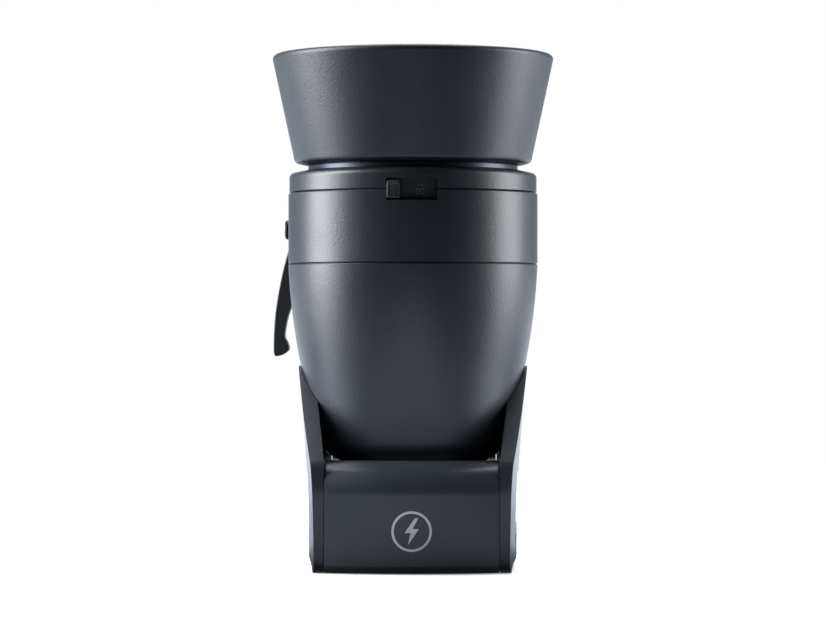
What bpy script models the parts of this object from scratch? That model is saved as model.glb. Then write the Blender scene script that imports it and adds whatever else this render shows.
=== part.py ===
"""Compact battery studio flash head, standing on its rear rims with its optical axis upright.

The frame: +Z runs forwards along the optical axis, -Y is the side that faces up in use and
carries the handle, +Y is the stand bracket's side. The origin is where the optical axis meets
the plane that the head stands on. Lengths below are in millimetres and are scaled on use.
"""

import math

import bmesh
import bpy
from mathutils import Matrix, Vector

MM = 0.001

# Driving sizes of the round body
BARREL_R = 60.0            # straight barrel behind the front ring
BARREL_LENGTH = 33.8       # along the axis
SHELL_BOTTOM_Z = 49.0      # outside of the tapered shell's closed end
SHELL_LENGTH = 95.3        # closed end to the seam under the barrel
SHELL_CORNER_R = 16.0      # round corner at the closed end
TAPER_LINEAR = 0.043       # the shell narrows by this share of the depth below its seam ...
TAPER_SQUARE = 0.00165     # ... and by this much for each square millimetre of it
WALL = 2.5
GAP = 0.3                  # between two touching pieces
FRONT_RING_STEP = 0.5      # from the barrel in to the front ring
FRONT_RING_HEIGHT = 10.0

# Accessory mount
COLLAR_R = 50.5            # the shoulder that the reflector seats on
COLLAR_STEP = 1.3          # from the shoulder down to the spigot inside the reflector
COLLAR_WALL = 2.8
COLLAR_HEIGHT = 16.0       # above the front ring's inner edge
SLEEVE_CLEARANCE = 0.4
SLEEVE_WALL = 2.6
PIN_Z_ABOVE_RING = 9.8
PIN_R = 1.5
LATCH_TRAVEL = 1.8
LATCH_HALF_WIDTH = 1.3
LOCK_TURN_DEG = 16.5
SLIDER_HALF = 3.0          # half the width of the thumb piece
SLIDER_MARGIN = 0.165      # left beside it at each end of the window

# Reflector
REFLECTOR_REAR_R = 57.4
REFLECTOR_RIM_R = 67.5
REFLECTOR_DEPTH = 53.2
REFLECTOR_WALL = 1.8
REFLECTOR_GAP = 2.4        # above the front ring's inner edge

# Rear frame: two side cheeks, the handle bar and the electronics box between them
CHEEK_TIP_Z = 95.6
TIP_PROUD = 1.007          # of the shell, at the tip
CHEEK_IN_FROM_BARREL = 10.1   # from the barrel's side in to the cheek's at the rest plane
CHEEK_THICKNESS = 8.9
CHEEK_SWELL = 2.2          # how fast the cheek widens towards its tip
CHEEK_BOW = 0.0014         # the cheek's side leans in with the square of the depth
CHEEK_CREASE_Z = 50.6      # where the slanted shoulders end
CHEEK_FLARE = 0.15
TIP_HALF_DEPTH = 5.0
HANDLE_PROUD = 2.0         # of the barrel's line
HANDLE_DEPTH = 18.0
HANDLE_TOP_Z = 52.0
HANDLE_TOP_R = 15.5
HANDLE_FOOT_R = 4.0
HANDLE_BULGE_R = 143.0     # the bar's front face bows out with this radius
HANDLE_WALL = 2.5
BOX_IN_FROM_BARREL = 8.0   # from the barrel's line in to the box's back
BOX_LIP_Z = 54.0
BOX_RIB = 5.0              # front wall of the box, centred on the optical axis
PANEL_Z = 9.5              # the control panel's face, recessed from the rest plane
PANEL_T = 2.5

# Stand bracket
PIVOT_STANDOFF = 20.0      # tilt bolt to the barrel's side
PIVOT_UP = 18.4            # tilt bolt above the seam
EAR_R = 13.0
KNUCKLE_R = 12.5
KNUCKLE_HALF = 22.0
DISC_T = 1.5
EAR_T = 16.0
BOLT_R = 4.0
RUNNING = 0.2              # clearance of a shaft in its hole
SOCKET_WALL = 5.9
SOCKET_BORE_R = 8.1        # takes a 16 mm stand spigot
SOCKET_REACH = 60.0        # tilt bolt to the socket's mouth
SOCKET_DEPTH = 32.0
UMBRELLA_REACH = 19.5      # tilt bolt to the umbrella hole
UMBRELLA_BORE_R = 4.1      # takes an 8 mm umbrella shaft
LEVER_REACH = 64.0         # pivot to the tip of the lever

# Values that follow from them
SEAM_Z = SHELL_BOTTOM_Z + SHELL_LENGTH
BARREL_Z = SEAM_Z + GAP
RING_Z = BARREL_Z + BARREL_LENGTH + GAP
RING_TOP_Z = RING_Z + FRONT_RING_HEIGHT
RING_INNER_Z = RING_TOP_Z + 0.8          # the ring's top face rises towards the collar
BOX_TOP_Z = SHELL_BOTTOM_Z - GAP         # the box carries the shell's closed end
FRONT_RING_R = BARREL_R - FRONT_RING_STEP
CHEEK_REAR_X = BARREL_R - CHEEK_IN_FROM_BARREL
CHEEK_INNER_X = CHEEK_REAR_X - CHEEK_THICKNESS
HANDLE_FRONT_Y = -(BARREL_R + HANDLE_PROUD)
HANDLE_INNER_Y = HANDLE_FRONT_Y + HANDLE_DEPTH
BOX_BACK_Y = BARREL_R - BOX_IN_FROM_BARREL
PIVOT_Y = BARREL_R + PIVOT_STANDOFF
PIVOT_Z = BARREL_Z + PIVOT_UP
SOCKET_R = SOCKET_BORE_R + SOCKET_WALL
SOCKET_END_Y = PIVOT_Y + SOCKET_REACH
UMBRELLA_Y = PIVOT_Y + UMBRELLA_REACH
EAR_X = KNUCKLE_HALF + GAP + DISC_T + GAP
EAR_END_X = EAR_X + EAR_T
BODY_SEGMENTS = 40


def shell_radius(z):
    """Outer radius of the tapered shell at height z, above its round corner."""
    depth = SEAM_Z - z
    return BARREL_R - TAPER_LINEAR * depth - TAPER_SQUARE * depth * depth


CHEEK_TIP_X = shell_radius(CHEEK_TIP_Z) + TIP_PROUD


def cheek_x(z, y):
    """Outer half width of the rear frame at height z and depth y."""
    widest = CHEEK_REAR_X + (CHEEK_TIP_X - CHEEK_REAR_X) * (z / CHEEK_TIP_Z) ** CHEEK_SWELL
    corner_r = 5.0
    past = max(0.0, y - (BOX_BACK_Y - corner_r))
    corner = corner_r - math.sqrt(max(0.0, corner_r ** 2 - past ** 2))
    foot_r = 6.0
    low = max(0.0, foot_r - z)
    foot = foot_r - math.sqrt(max(0.0, foot_r ** 2 - low ** 2))
    share = min(1.0, max(0.0, (y + 50.0) / 25.0))
    return widest - CHEEK_BOW * y * y - corner - foot * share * (3 - 2 * share) * share


def bulge(x):
    """How far the bowed front of the handle falls back at a distance x from the middle."""
    return HANDLE_BULGE_R - math.sqrt(HANDLE_BULGE_R ** 2 - x * x)


def arc(centre_u, centre_v, radius, start_deg, end_deg, steps):
    """Points along a circular arc, in the order start to end."""
    points = []
    for i in range(steps + 1):
        a = math.radians(start_deg + (end_deg - start_deg) * i / steps)
        points.append((centre_u + radius * math.cos(a), centre_v + radius * math.sin(a)))
    return points


# ---------------------------------------------------------------- scene and helpers

def clear_scene():
    for obj in list(bpy.data.objects):
        bpy.data.objects.remove(obj, do_unlink=True)


def collection(name):
    made = bpy.data.collections.new(name)
    bpy.context.scene.collection.children.link(made)
    return made


clear_scene()
PARTS = collection("studio_flash_head")
CUTTERS = collection("cutters")


def material(name, color, roughness, metallic=0.0):
    made = bpy.data.materials.new(name)
    made.use_nodes = True
    shader = made.node_tree.nodes["Principled BSDF"]
    shader.inputs["Base Color"].default_value = (*color, 1.0)
    shader.inputs["Roughness"].default_value = roughness
    shader.inputs["Metallic"].default_value = metallic
    return made


SATIN_PAINT = material("satin_graphite_paint", (0.045, 0.052, 0.062), 0.42)
BLACK_PLASTIC = material("black_moulded_plastic", (0.02, 0.021, 0.024), 0.5)
SOFT_BLACK = material("soft_touch_black", (0.015, 0.015, 0.017), 0.7)
ALUMINIUM = material("cast_aluminium", (0.35, 0.36, 0.38), 0.4, 1.0)
BRIGHT = material("bright_anodised", (0.75, 0.76, 0.78), 0.25, 1.0)
STEEL = material("zinc_steel", (0.5, 0.5, 0.52), 0.35, 1.0)
GLASS = material("frosted_glass", (0.85, 0.87, 0.88), 0.5)
BOARD = material("circuit_board", (0.02, 0.12, 0.05), 0.5)
CERAMIC = material("white_ceramic", (0.8, 0.79, 0.75), 0.4)
WRAP = material("shrink_wrap", (0.03, 0.05, 0.12), 0.45)


def place(mesh, name, mat, cutter=False):
    """Links a new object for a mesh, as a part or as a hidden cutter."""
    obj = bpy.data.objects.new(name, mesh)
    (CUTTERS if cutter else PARTS).objects.link(obj)
    if cutter:
        obj.hide_render = True
        obj.display_type = "WIRE"
    else:
        mesh.materials.append(mat)
    return obj


def mesh_from(bm, name):
    mesh = bpy.data.meshes.new(name)
    bm.to_mesh(mesh)
    bm.free()
    return mesh


def turn_axis(obj, axis):
    """Lays an object that was made along Z along another axis."""
    if axis == "X":
        obj.rotation_euler = (0.0, math.radians(90), 0.0)
    elif axis == "Y":
        obj.rotation_euler = (math.radians(-90), 0.0, 0.0)


def turned(name, profile, mat=None, segments=32, axis="Z", at=(0, 0, 0), cutter=False):
    """A turned piece from a profile of (radius, height) points. A profile that starts and ends
    on the axis is left open, any other is closed into a ring."""
    area = sum(a[0] * b[1] - b[0] * a[1] for a, b in zip(profile, profile[1:] + profile[:1]))
    if area > 0:
        profile = profile[::-1]
    on_axis = [i for i, p in enumerate(profile) if p[0] < 1e-9]
    solid = len(on_axis) == 2
    if solid:
        start = on_axis[1] if (on_axis[1] - on_axis[0]) == 1 else on_axis[0]
        profile = profile[start:] + profile[:start]
    mesh = bpy.data.meshes.new(name)
    count = len(profile)
    edges = [(i, i + 1) for i in range(count - 1)]
    if not solid:
        edges.append((count - 1, 0))
    mesh.from_pydata([(r * MM, 0.0, z * MM) for r, z in profile], edges, [])
    obj = place(mesh, name, mat, cutter)
    screw = obj.modifiers.new("Turn", "SCREW")
    screw.steps = segments
    screw.render_steps = segments
    screw.use_merge_vertices = True
    screw.merge_threshold = 0.00001
    screw.use_smooth_shade = False
    obj.location = Vector(at) * MM
    turn_axis(obj, axis)
    return obj


def cylinder(name, radius, low, high, mat=None, segments=24, axis="Z", at=(0, 0, 0), cutter=False):
    """A cylinder between two heights along an axis through a point, where its origin stays."""
    bm = bmesh.new()
    middle = Matrix.Translation((0, 0, (low + high) / 2 * MM))
    bmesh.ops.create_cone(bm, cap_ends=True, segments=segments, radius1=radius * MM, radius2=radius * MM,
                          depth=(high - low) * MM, matrix=middle)
    obj = place(mesh_from(bm, name), name, mat, cutter)
    obj.location = Vector(at) * MM
    turn_axis(obj, axis)
    return obj


def ring(name, inner, outer, low, high, mat=None, segments=32, axis="Z", at=(0, 0, 0), cutter=False):
    profile = [(outer, high), (outer, low), (inner, low), (inner, high)]
    return turned(name, profile, mat, segments, axis, at, cutter)


def box(name, low, high, mat=None, edge=0.0, cutter=False):
    """A block between two corners, with its edges rounded by the given radius."""
    bm = bmesh.new()
    bmesh.ops.create_cube(bm, size=1.0)
    size = [(h - l) * MM for l, h in zip(low, high)]
    bmesh.ops.scale(bm, verts=bm.verts, vec=size)
    obj = place(mesh_from(bm, name), name, mat, cutter)
    obj.location = Vector([(l + h) / 2 * MM for l, h in zip(low, high)])
    if edge:
        round_edges(obj, edge)
    return obj


def round_edges(obj, radius, segments=2, angle_deg=40):
    bevel = obj.modifiers.new("Round", "BEVEL")
    bevel.width = radius * MM
    bevel.segments = segments
    bevel.limit_method = "ANGLE"
    bevel.angle_limit = math.radians(angle_deg)


def cut(obj, *cutters):
    for cutter in cutters:
        boolean = obj.modifiers.new("Cut", "BOOLEAN")
        boolean.operation = "DIFFERENCE"
        boolean.solver = "EXACT"
        boolean.object = cutter


def join(obj, *others):
    """Unites hidden helper solids with a piece."""
    for other in others:
        boolean = obj.modifiers.new("Join", "BOOLEAN")
        boolean.operation = "UNION"
        boolean.solver = "EXACT"
        boolean.object = other


def move_origin(obj, point):
    """Puts an unturned object's origin at a point, such as its joint's axis."""
    shift = obj.location - Vector(point) * MM
    obj.data.transform(Matrix.Translation(shift))
    obj.location = Vector(point) * MM


def swing(obj, degrees):
    """Turns an object about the optical axis and puts its origin on that axis."""
    move_origin(obj, (0, 0, 0))
    obj.rotation_euler = (0, 0, math.radians(degrees))


def solid_curve(curve, name, mat, cutter=False):
    """Makes a curve a mesh with its caps welded on, so that it can be cut and joined."""
    line = bpy.data.objects.new(name + "_line", curve)
    PARTS.objects.link(line)
    bpy.context.view_layer.update()
    mesh = bpy.data.meshes.new_from_object(line.evaluated_get(bpy.context.evaluated_depsgraph_get()))
    bm = bmesh.new()
    bm.from_mesh(mesh)
    bmesh.ops.remove_doubles(bm, verts=bm.verts, dist=1e-6)
    bm.to_mesh(mesh)
    bm.free()
    mesh.name = name
    bpy.data.objects.remove(line, do_unlink=True)
    return place(mesh, name, mat, cutter)


def flat_outline(name, points, low, high, mat=None, axis="Z", at=(0, 0, 0), cutter=False):
    """A flat outline of (u, v) points made into a plate between two heights along an axis.
    Along Z the outline lies in XY, along Y in XZ and along X in YZ."""
    curve = bpy.data.curves.new(name, "CURVE")
    curve.dimensions = "2D"
    curve.fill_mode = "BOTH"
    curve.extrude = (high - low) / 2 * MM
    spline = curve.splines.new("POLY")
    spline.points.add(len(points) - 1)
    spline.use_cyclic_u = True
    for point, (u, v) in zip(spline.points, points):
        point.co = (u * MM, v * MM, 0, 1)
    obj = solid_curve(curve, name, mat, cutter)
    obj.data.transform(Matrix.Translation((0, 0, (low + high) / 2 * MM)))
    stand = {
        "Z": Matrix.Identity(4),
        "Y": Matrix(((1, 0, 0, 0), (0, 0, -1, 0), (0, 1, 0, 0), (0, 0, 0, 1))),
        "X": Matrix(((0, 0, 1, 0), (1, 0, 0, 0), (0, 1, 0, 0), (0, 0, 0, 1))),
    }[axis]
    obj.data.transform(stand)
    obj.location = Vector(at) * MM
    return obj


def lofted(name, sections, mat=None, cutter=False):
    """A solid between rings of equally many points, closed at its first and last ring."""
    bm = bmesh.new()
    rings = [[bm.verts.new(Vector(p) * MM) for p in section] for section in sections]
    for lower, upper in zip(rings, rings[1:]):
        for i in range(len(lower)):
            j = (i + 1) % len(lower)
            bm.faces.new((lower[i], lower[j], upper[j], upper[i]))
    bm.faces.new(rings[0])
    bm.faces.new(rings[-1])
    bmesh.ops.recalc_face_normals(bm, faces=bm.faces)
    return place(mesh_from(bm, name), name, mat, cutter)


def shell_profile(inset, steps=5):
    """Outer (radius, z) points of the tapered shell, from the axis at the closed end up to the
    seam, set in by a wall thickness."""
    corner_start = SHELL_BOTTOM_Z + SHELL_CORNER_R * 0.69
    slope = TAPER_LINEAR + 2 * TAPER_SQUARE * (SEAM_Z - corner_start)
    lean = math.degrees(math.atan(slope))
    centre_r = shell_radius(corner_start) - SHELL_CORNER_R * math.cos(math.radians(lean))
    centre_z = SHELL_BOTTOM_Z + SHELL_CORNER_R
    points = [(0.0, SHELL_BOTTOM_Z + inset)]
    points += arc(centre_r, centre_z, SHELL_CORNER_R - inset, -90, -lean, steps - 1)
    for i in range(1, steps + 1):
        z = corner_start + (SEAM_Z - corner_start) * i / steps
        points.append((shell_radius(z) - inset, z))
    return points


# ---------------------------------------------------------------- round body

def make_main_shell():
    outer = shell_profile(0.0)
    inner = shell_profile(WALL, 3)
    shell = turned("main_shell", outer + inner[::-1], SATIN_PAINT, BODY_SEGMENTS)
    cut(shell, cable_hole_cutter())
    return shell


def cable_hole_cutter():
    """The battery's leads pass from the rear box into the shell."""
    name = "cut_cable_hole"
    if name in bpy.data.objects:
        return bpy.data.objects[name]
    return cylinder(name, 6.0, BOX_TOP_Z - WALL - 3, SHELL_BOTTOM_Z + WALL + 3, segments=16,
                    at=(0, 20, 0), cutter=True)


def make_barrel():
    top = BARREL_Z + BARREL_LENGTH
    spigot = 4.0
    profile = [
        (BARREL_R - 0.4, top), (BARREL_R, top - 0.4), (BARREL_R, BARREL_Z + 0.4),
        (BARREL_R - 0.4, BARREL_Z), (BARREL_R - WALL - GAP, BARREL_Z),
        (BARREL_R - WALL - GAP - 0.6, BARREL_Z - spigot),
        (BARREL_R - 2 * WALL, BARREL_Z - spigot), (BARREL_R - 2 * WALL, BARREL_Z),
        (BARREL_R - WALL, BARREL_Z + WALL), (BARREL_R - WALL, top),
    ]
    barrel = turned("barrel_shell", profile, SATIN_PAINT, BODY_SEGMENTS)
    cut(barrel, lock_window_cutter())
    return barrel


SLIDER_END_R = BARREL_R + 0.4
SLIDER_REACH = SLIDER_END_R * math.sin(math.radians(LOCK_TURN_DEG / 2)) + SLIDER_HALF * 0.99
WINDOW_HALF = SLIDER_REACH + SLIDER_MARGIN
WINDOW_LOW_Z = RING_Z - 5.0
WINDOW_HIGH_Z = RING_Z + 5.0


def lock_window_cutter():
    name = "cut_lock_window"
    if name in bpy.data.objects:
        return bpy.data.objects[name]
    low = (-WINDOW_HALF, -BARREL_R - 4, WINDOW_LOW_Z)
    high = (WINDOW_HALF, -BARREL_R + 8, WINDOW_HIGH_Z)
    return box(name, low, high, cutter=True)


def make_front_ring():
    inner_r = COLLAR_R + 0.6
    under = RING_TOP_Z - 2.5
    profile = [
        (inner_r, RING_INNER_Z), (FRONT_RING_R - 0.8, RING_TOP_Z), (FRONT_RING_R, RING_TOP_Z - 0.9),
        (FRONT_RING_R, RING_Z), (FRONT_RING_R - WALL, RING_Z), (FRONT_RING_R - WALL, under),
        (inner_r, under),
    ]
    front = turned("front_ring", profile, SATIN_PAINT, BODY_SEGMENTS)
    cut(front, lock_window_cutter())
    return front


COLLAR_FLANGE_TOP = RING_TOP_Z - 2.5 - GAP
COLLAR_FLANGE_LOW = COLLAR_FLANGE_TOP - 2.2
LATCH_FOOT_TOP = COLLAR_FLANGE_LOW - GAP
LATCH_FOOT_T = 3.0
LOCK_RING_IN = COLLAR_R + 3.0
LOCK_RING_OUT = LOCK_RING_IN + 2.9
LOCK_RING_LOW = WINDOW_LOW_Z - 0.8
SPIGOT_R = COLLAR_R - COLLAR_STEP
SEAT_Z = RING_INNER_Z + REFLECTOR_GAP - GAP
BULKHEAD_TOP = LATCH_FOOT_TOP - LATCH_FOOT_T - GAP
PIN_Z = RING_TOP_Z + PIN_Z_ABOVE_RING
LATCH_ANGLES = (30.0, 150.0, 270.0)
LATCH_LEG_OUT = SPIGOT_R - COLLAR_WALL - GAP - LATCH_TRAVEL
LATCH_LEG_IN = LATCH_LEG_OUT - 2.2


def make_collar():
    top = RING_INNER_Z + COLLAR_HEIGHT
    inner = SPIGOT_R - COLLAR_WALL
    flange = LOCK_RING_IN - 0.5
    profile = [
        (inner, top), (SPIGOT_R - 0.8, top), (SPIGOT_R, top - 0.8), (SPIGOT_R, SEAT_Z), (COLLAR_R, SEAT_Z),
        (COLLAR_R, COLLAR_FLANGE_TOP), (flange, COLLAR_FLANGE_TOP), (flange, COLLAR_FLANGE_LOW),
        (inner, COLLAR_FLANGE_LOW),
    ]
    collar = turned("mount_collar", profile, ALUMINIUM, BODY_SEGMENTS)
    for i, angle in enumerate(LATCH_ANGLES):
        hole = cylinder(f"cut_pin_hole_{i + 1}", PIN_R * 1.3 + GAP, inner - 4, SPIGOT_R + 4, segments=12,
                        axis="X", cutter=True)
        hole.rotation_euler.z = math.radians(angle)
        hole.location.z = PIN_Z * MM
        cut(collar, hole)
    return collar


def make_lock_ring():
    """A ring with three ramps on its inside. Turning it lets the sprung latches move out."""
    high = LATCH_FOOT_TOP + 0.8
    lock_ring = ring("lock_ring", LOCK_RING_IN, LOCK_RING_OUT, LOCK_RING_LOW, high, BLACK_PLASTIC,
                     BODY_SEGMENTS)
    side = math.degrees(LATCH_HALF_WIDTH / LOCK_RING_IN) + 0.4
    depth = LATCH_TRAVEL * (LOCK_TURN_DEG + side) / LOCK_TURN_DEG
    for i, angle in enumerate(LATCH_ANGLES):
        corners = (
            (LOCK_RING_IN - 3, side), (LOCK_RING_IN, side),
            (LOCK_RING_IN + depth / 2, (side - LOCK_TURN_DEG) / 2),
            (LOCK_RING_IN + depth, -LOCK_TURN_DEG), (LOCK_RING_IN + depth, -LOCK_TURN_DEG - side),
            (LOCK_RING_IN - 3, -LOCK_TURN_DEG - side),
        )
        outline = []
        for radius, degrees in corners:
            a = math.radians(angle + degrees)
            outline.append((radius * math.cos(a), radius * math.sin(a)))
        ramp = flat_outline(f"cut_ramp_{i + 1}", outline, LATCH_FOOT_TOP - LATCH_FOOT_T - 0.5, high + 2,
                            cutter=True)
        cut(lock_ring, ramp)
    return lock_ring


def make_lock_slider():
    """The thumb piece stands on the lock ring and runs in the window."""
    half = SLIDER_HALF
    degrees = -90 - LOCK_TURN_DEG / 2
    slider = box("lock_slider", (LOCK_RING_OUT + GAP, -half, WINDOW_LOW_Z + 0.6),
                 (SLIDER_END_R, half, WINDOW_HIGH_Z - 0.6), BLACK_PLASTIC, 0.6)
    swing(slider, degrees)
    return slider


def make_latch(index, angle):
    """An L-shaped latch: a foot that rides on the lock ring, a leg inside the collar and a pin."""
    foot_end = LOCK_RING_IN - GAP
    outline = [
        (LATCH_LEG_IN, LATCH_FOOT_TOP - LATCH_FOOT_T), (foot_end, LATCH_FOOT_TOP - LATCH_FOOT_T),
        (foot_end, LATCH_FOOT_TOP), (LATCH_LEG_OUT, LATCH_FOOT_TOP), (LATCH_LEG_OUT, PIN_Z - PIN_R),
        (SPIGOT_R - GAP, PIN_Z - PIN_R), (SPIGOT_R - GAP, PIN_Z + PIN_R),
        (LATCH_LEG_OUT, PIN_Z + PIN_R), (LATCH_LEG_OUT, PIN_Z + PIN_R + 1.0),
        (LATCH_LEG_IN, PIN_Z + PIN_R + 1.0),
    ]
    latch = flat_outline(f"lock_latch_{index}", outline, -LATCH_HALF_WIDTH,
                         LATCH_HALF_WIDTH, STEEL, axis="Y")
    latch.rotation_euler = (0, 0, math.radians(angle))
    return latch


STANDOFF_R = 45.0


def make_bulkhead():
    """A stepped disc across the barrel. It carries the lamp socket, the latches and the lock ring,
    its holes let the cooling air through, and three rods under it hold the power board."""
    outer = BARREL_R - WALL - GAP
    inner = LOCK_RING_IN - 0.5
    step = LOCK_RING_LOW - GAP
    wall = 3.0
    profile = [(0, BULKHEAD_TOP), (inner, BULKHEAD_TOP), (inner, step), (outer, step), (outer, step - wall),
               (inner - wall, step - wall), (inner - wall, BULKHEAD_TOP - wall), (0, BULKHEAD_TOP - wall)]
    plate = turned("front_bulkhead", profile, ALUMINIUM, BODY_SEGMENTS)
    for i in range(6):
        a = math.radians(60 * i)
        hole = cylinder(f"cut_air_{i + 1}", 5.0, BULKHEAD_TOP - 8, BULKHEAD_TOP + 5, segments=12,
                        at=(36 * math.cos(a), 36 * math.sin(a), 0), cutter=True)
        cut(plate, hole)
    for i in range(3):
        a = math.radians(120 * i + 30)
        spot = (STANDOFF_R * math.cos(a), STANDOFF_R * math.sin(a), 0)
        rod = cylinder(f"join_standoff_{i + 1}", 2.6, BOARD_Z + 1.6 + GAP, BULKHEAD_TOP - wall + 1,
                       segments=12, at=spot, cutter=True)
        join(plate, rod)
    # The rods stay out of the space that the lock ring turns in
    cut(plate, ring("cut_lock_space", inner + 0.2, outer + 5, step + 0.1, BULKHEAD_TOP + 8,
                    segments=BODY_SEGMENTS, cutter=True))
    return plate


# ---------------------------------------------------------------- light source

PAN_Z = BULKHEAD_TOP + 5.0
PAN_R = LATCH_LEG_IN - GAP
DOME_R = PAN_R - 0.4
BOARD_Z = SEAM_Z - 13.5
CAPACITOR_CLEARANCE = 5.0
SOCKET_TOP = BULKHEAD_TOP + 9.0
TUBE_RING_R = 23.0
TUBE_R = 4.0
TUBE_Z = SOCKET_TOP + 15.0
DOME_FOOT_Z = PAN_Z + 1.6
DOME_SKIRT = 10.0
DOME_RISE = 34.0
LAMP_SOCKET_R = 30.0


def make_inner_pan():
    hole = LAMP_SOCKET_R + 0.4
    profile = [(hole, PAN_Z), (hole, PAN_Z + 1.2), (PAN_R, PAN_Z + 1.2), (PAN_R, PAN_Z)]
    return turned("inner_pan", profile, BRIGHT, 48)


def make_lamp_socket():
    socket = cylinder("lamp_socket", LAMP_SOCKET_R, BULKHEAD_TOP + GAP, SOCKET_TOP, CERAMIC, 32)
    for i, x in enumerate((-1, 1)):
        hole = cylinder(f"cut_tube_pin_{i + 1}", 2.6, SOCKET_TOP - 6, SOCKET_TOP + 4,
                        segments=12, at=(x * TUBE_RING_R, 0, 0), cutter=True)
        cut(socket, hole)
    return socket


def make_modelling_led():
    led = cylinder("modelling_led", 11.0, SOCKET_TOP + GAP, SOCKET_TOP + 1.8, CERAMIC, 24)
    lens = cylinder("join_led_lens", 7.5, SOCKET_TOP + 1.0, SOCKET_TOP + 2.6, segments=24, cutter=True)
    join(led, lens)
    return led


def make_flash_tube():
    """A ring of glass tube, open at the front of the ring, on two pins that plug into the socket."""
    points = arc(0, 0, TUBE_RING_R, -78, 258, 18)
    curve = bpy.data.curves.new("flash_tube_line", "CURVE")
    curve.dimensions = "3D"
    curve.bevel_depth = TUBE_R * MM
    curve.bevel_resolution = 1
    curve.use_fill_caps = True
    spline = curve.splines.new("POLY")
    spline.points.add(len(points) - 1)
    for point, (x, y) in zip(spline.points, points):
        point.co = (x * MM, y * MM, TUBE_Z * MM, 1)
    tube = solid_curve(curve, "flash_tube", GLASS)
    for i, x in enumerate((-1, 1)):
        leg = cylinder(f"join_tube_leg_{i + 1}", 2.2, SOCKET_TOP - 4.5, TUBE_Z - 0.5,
                       segments=12, at=(x * TUBE_RING_R, 0, 0), cutter=True)
        join(tube, leg)
    return tube


def make_dome():
    wall = 2.4
    top = DOME_FOOT_Z + DOME_SKIRT

    def line(inset):
        points = [(DOME_R - inset, DOME_FOOT_Z)]
        for i in range(7):
            a = math.radians(90 * i / 6)
            points.append(((DOME_R - inset) * math.cos(a), top + (DOME_RISE - inset) * math.sin(a)))
        points[-1] = (0.0, top + DOME_RISE - inset)
        return points

    return turned("glass_dome", line(0.0) + line(wall)[::-1], GLASS, 32)


# ---------------------------------------------------------------- reflector

REFLECTOR_Z = RING_INNER_Z + REFLECTOR_GAP
REFLECTOR_TOP_Z = REFLECTOR_Z + REFLECTOR_DEPTH
SLEEVE_IN = SPIGOT_R + SLEEVE_CLEARANCE
SLEEVE_OUT = SLEEVE_IN + SLEEVE_WALL


def make_reflector_bowl():
    rear = REFLECTOR_REAR_R
    rim = REFLECTOR_RIM_R
    wall = REFLECTOR_WALL
    corner = REFLECTOR_Z + 1.2
    bead = 2.0
    top = REFLECTOR_TOP_Z
    profile = [(SLEEVE_IN, REFLECTOR_Z), (rear - 1.6, corner - 0.1), (rear - 0.5, corner + 0.5),
               (rear, corner + 1.8)]
    profile += arc(rim - bead, top - bead, bead, 0, 90, 3)
    profile += [(rim - 2 * bead + 0.6, top), (rim - 2 * bead, top - 0.6), (rim - 2 * bead, top - bead),
                (rear - wall, corner + 3.2), (rear - wall - 1.2, corner + wall),
                (SLEEVE_OUT + GAP, REFLECTOR_Z + wall), (SLEEVE_IN, REFLECTOR_Z + wall)]
    return turned("reflector_bowl", profile, SATIN_PAINT, BODY_SEGMENTS)


def make_reflector_sleeve():
    low = REFLECTOR_Z + REFLECTOR_WALL + GAP
    high = RING_INNER_Z + COLLAR_HEIGHT + 1.0
    groove = PIN_R + 0.9
    deep = SLEEVE_IN + 1.7
    profile = [
        (SLEEVE_OUT, high), (SLEEVE_OUT, low), (SLEEVE_IN, low), (SLEEVE_IN, PIN_Z - groove),
        (deep, PIN_Z - groove), (deep, PIN_Z + groove), (SLEEVE_IN, PIN_Z + groove), (SLEEVE_IN, high),
    ]
    return turned("reflector_sleeve", profile, BRIGHT, BODY_SEGMENTS)


# ---------------------------------------------------------------- inner workings

def make_capacitor(number):
    """One of three that stand side by side on the shell's closed end and just fit inside it."""
    low = SHELL_BOTTOM_Z + 17
    reach = shell_radius(low) - WALL - CAPACITOR_CLEARANCE
    pitch_r = reach / 1.7727
    radius = reach - pitch_r
    high = BOARD_Z - GAP
    a = math.radians(120 * number - 30)
    profile = [(0, high), (radius - 4, high), (radius - 4, high - 1.5), (radius - 1, high - 1.5),
               (radius, high - 2.5), (radius, low + 1), (radius - 1, low), (0, low)]
    spot = (pitch_r * math.cos(a), pitch_r * math.sin(a), 0)
    return turned(f"capacitor_{number}", profile, WRAP, 16, at=spot)


def make_power_board():
    """The board under the fan, with its larger components soldered on."""
    board = cylinder("power_board", 50.0, BOARD_Z, BOARD_Z + 1.6, BOARD, 32)
    components = {
        "transformer": ((-38, -14), (22, 28), 12.0),
        "switch_heat_sink": ((20, -16), (16, 16), 9.0),
        "choke": ((20, 4), (14, 10), 10.5),
        "driver": ((-8, 16), (16, 14), 8.0),
        "relay": ((-10, -34), (20, 12), 7.5),
    }
    for name, ((x, y), (wide, deep), high) in components.items():
        join(board, box(f"join_{name}", (x, y, BOARD_Z + 1), (x + wide, y + deep, BOARD_Z + 1.6 + high),
                        cutter=True))
    return board


FAN_Z = BOARD_Z + 15.0
FAN_T = 13.0
FAN_HALF = 30.0


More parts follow.
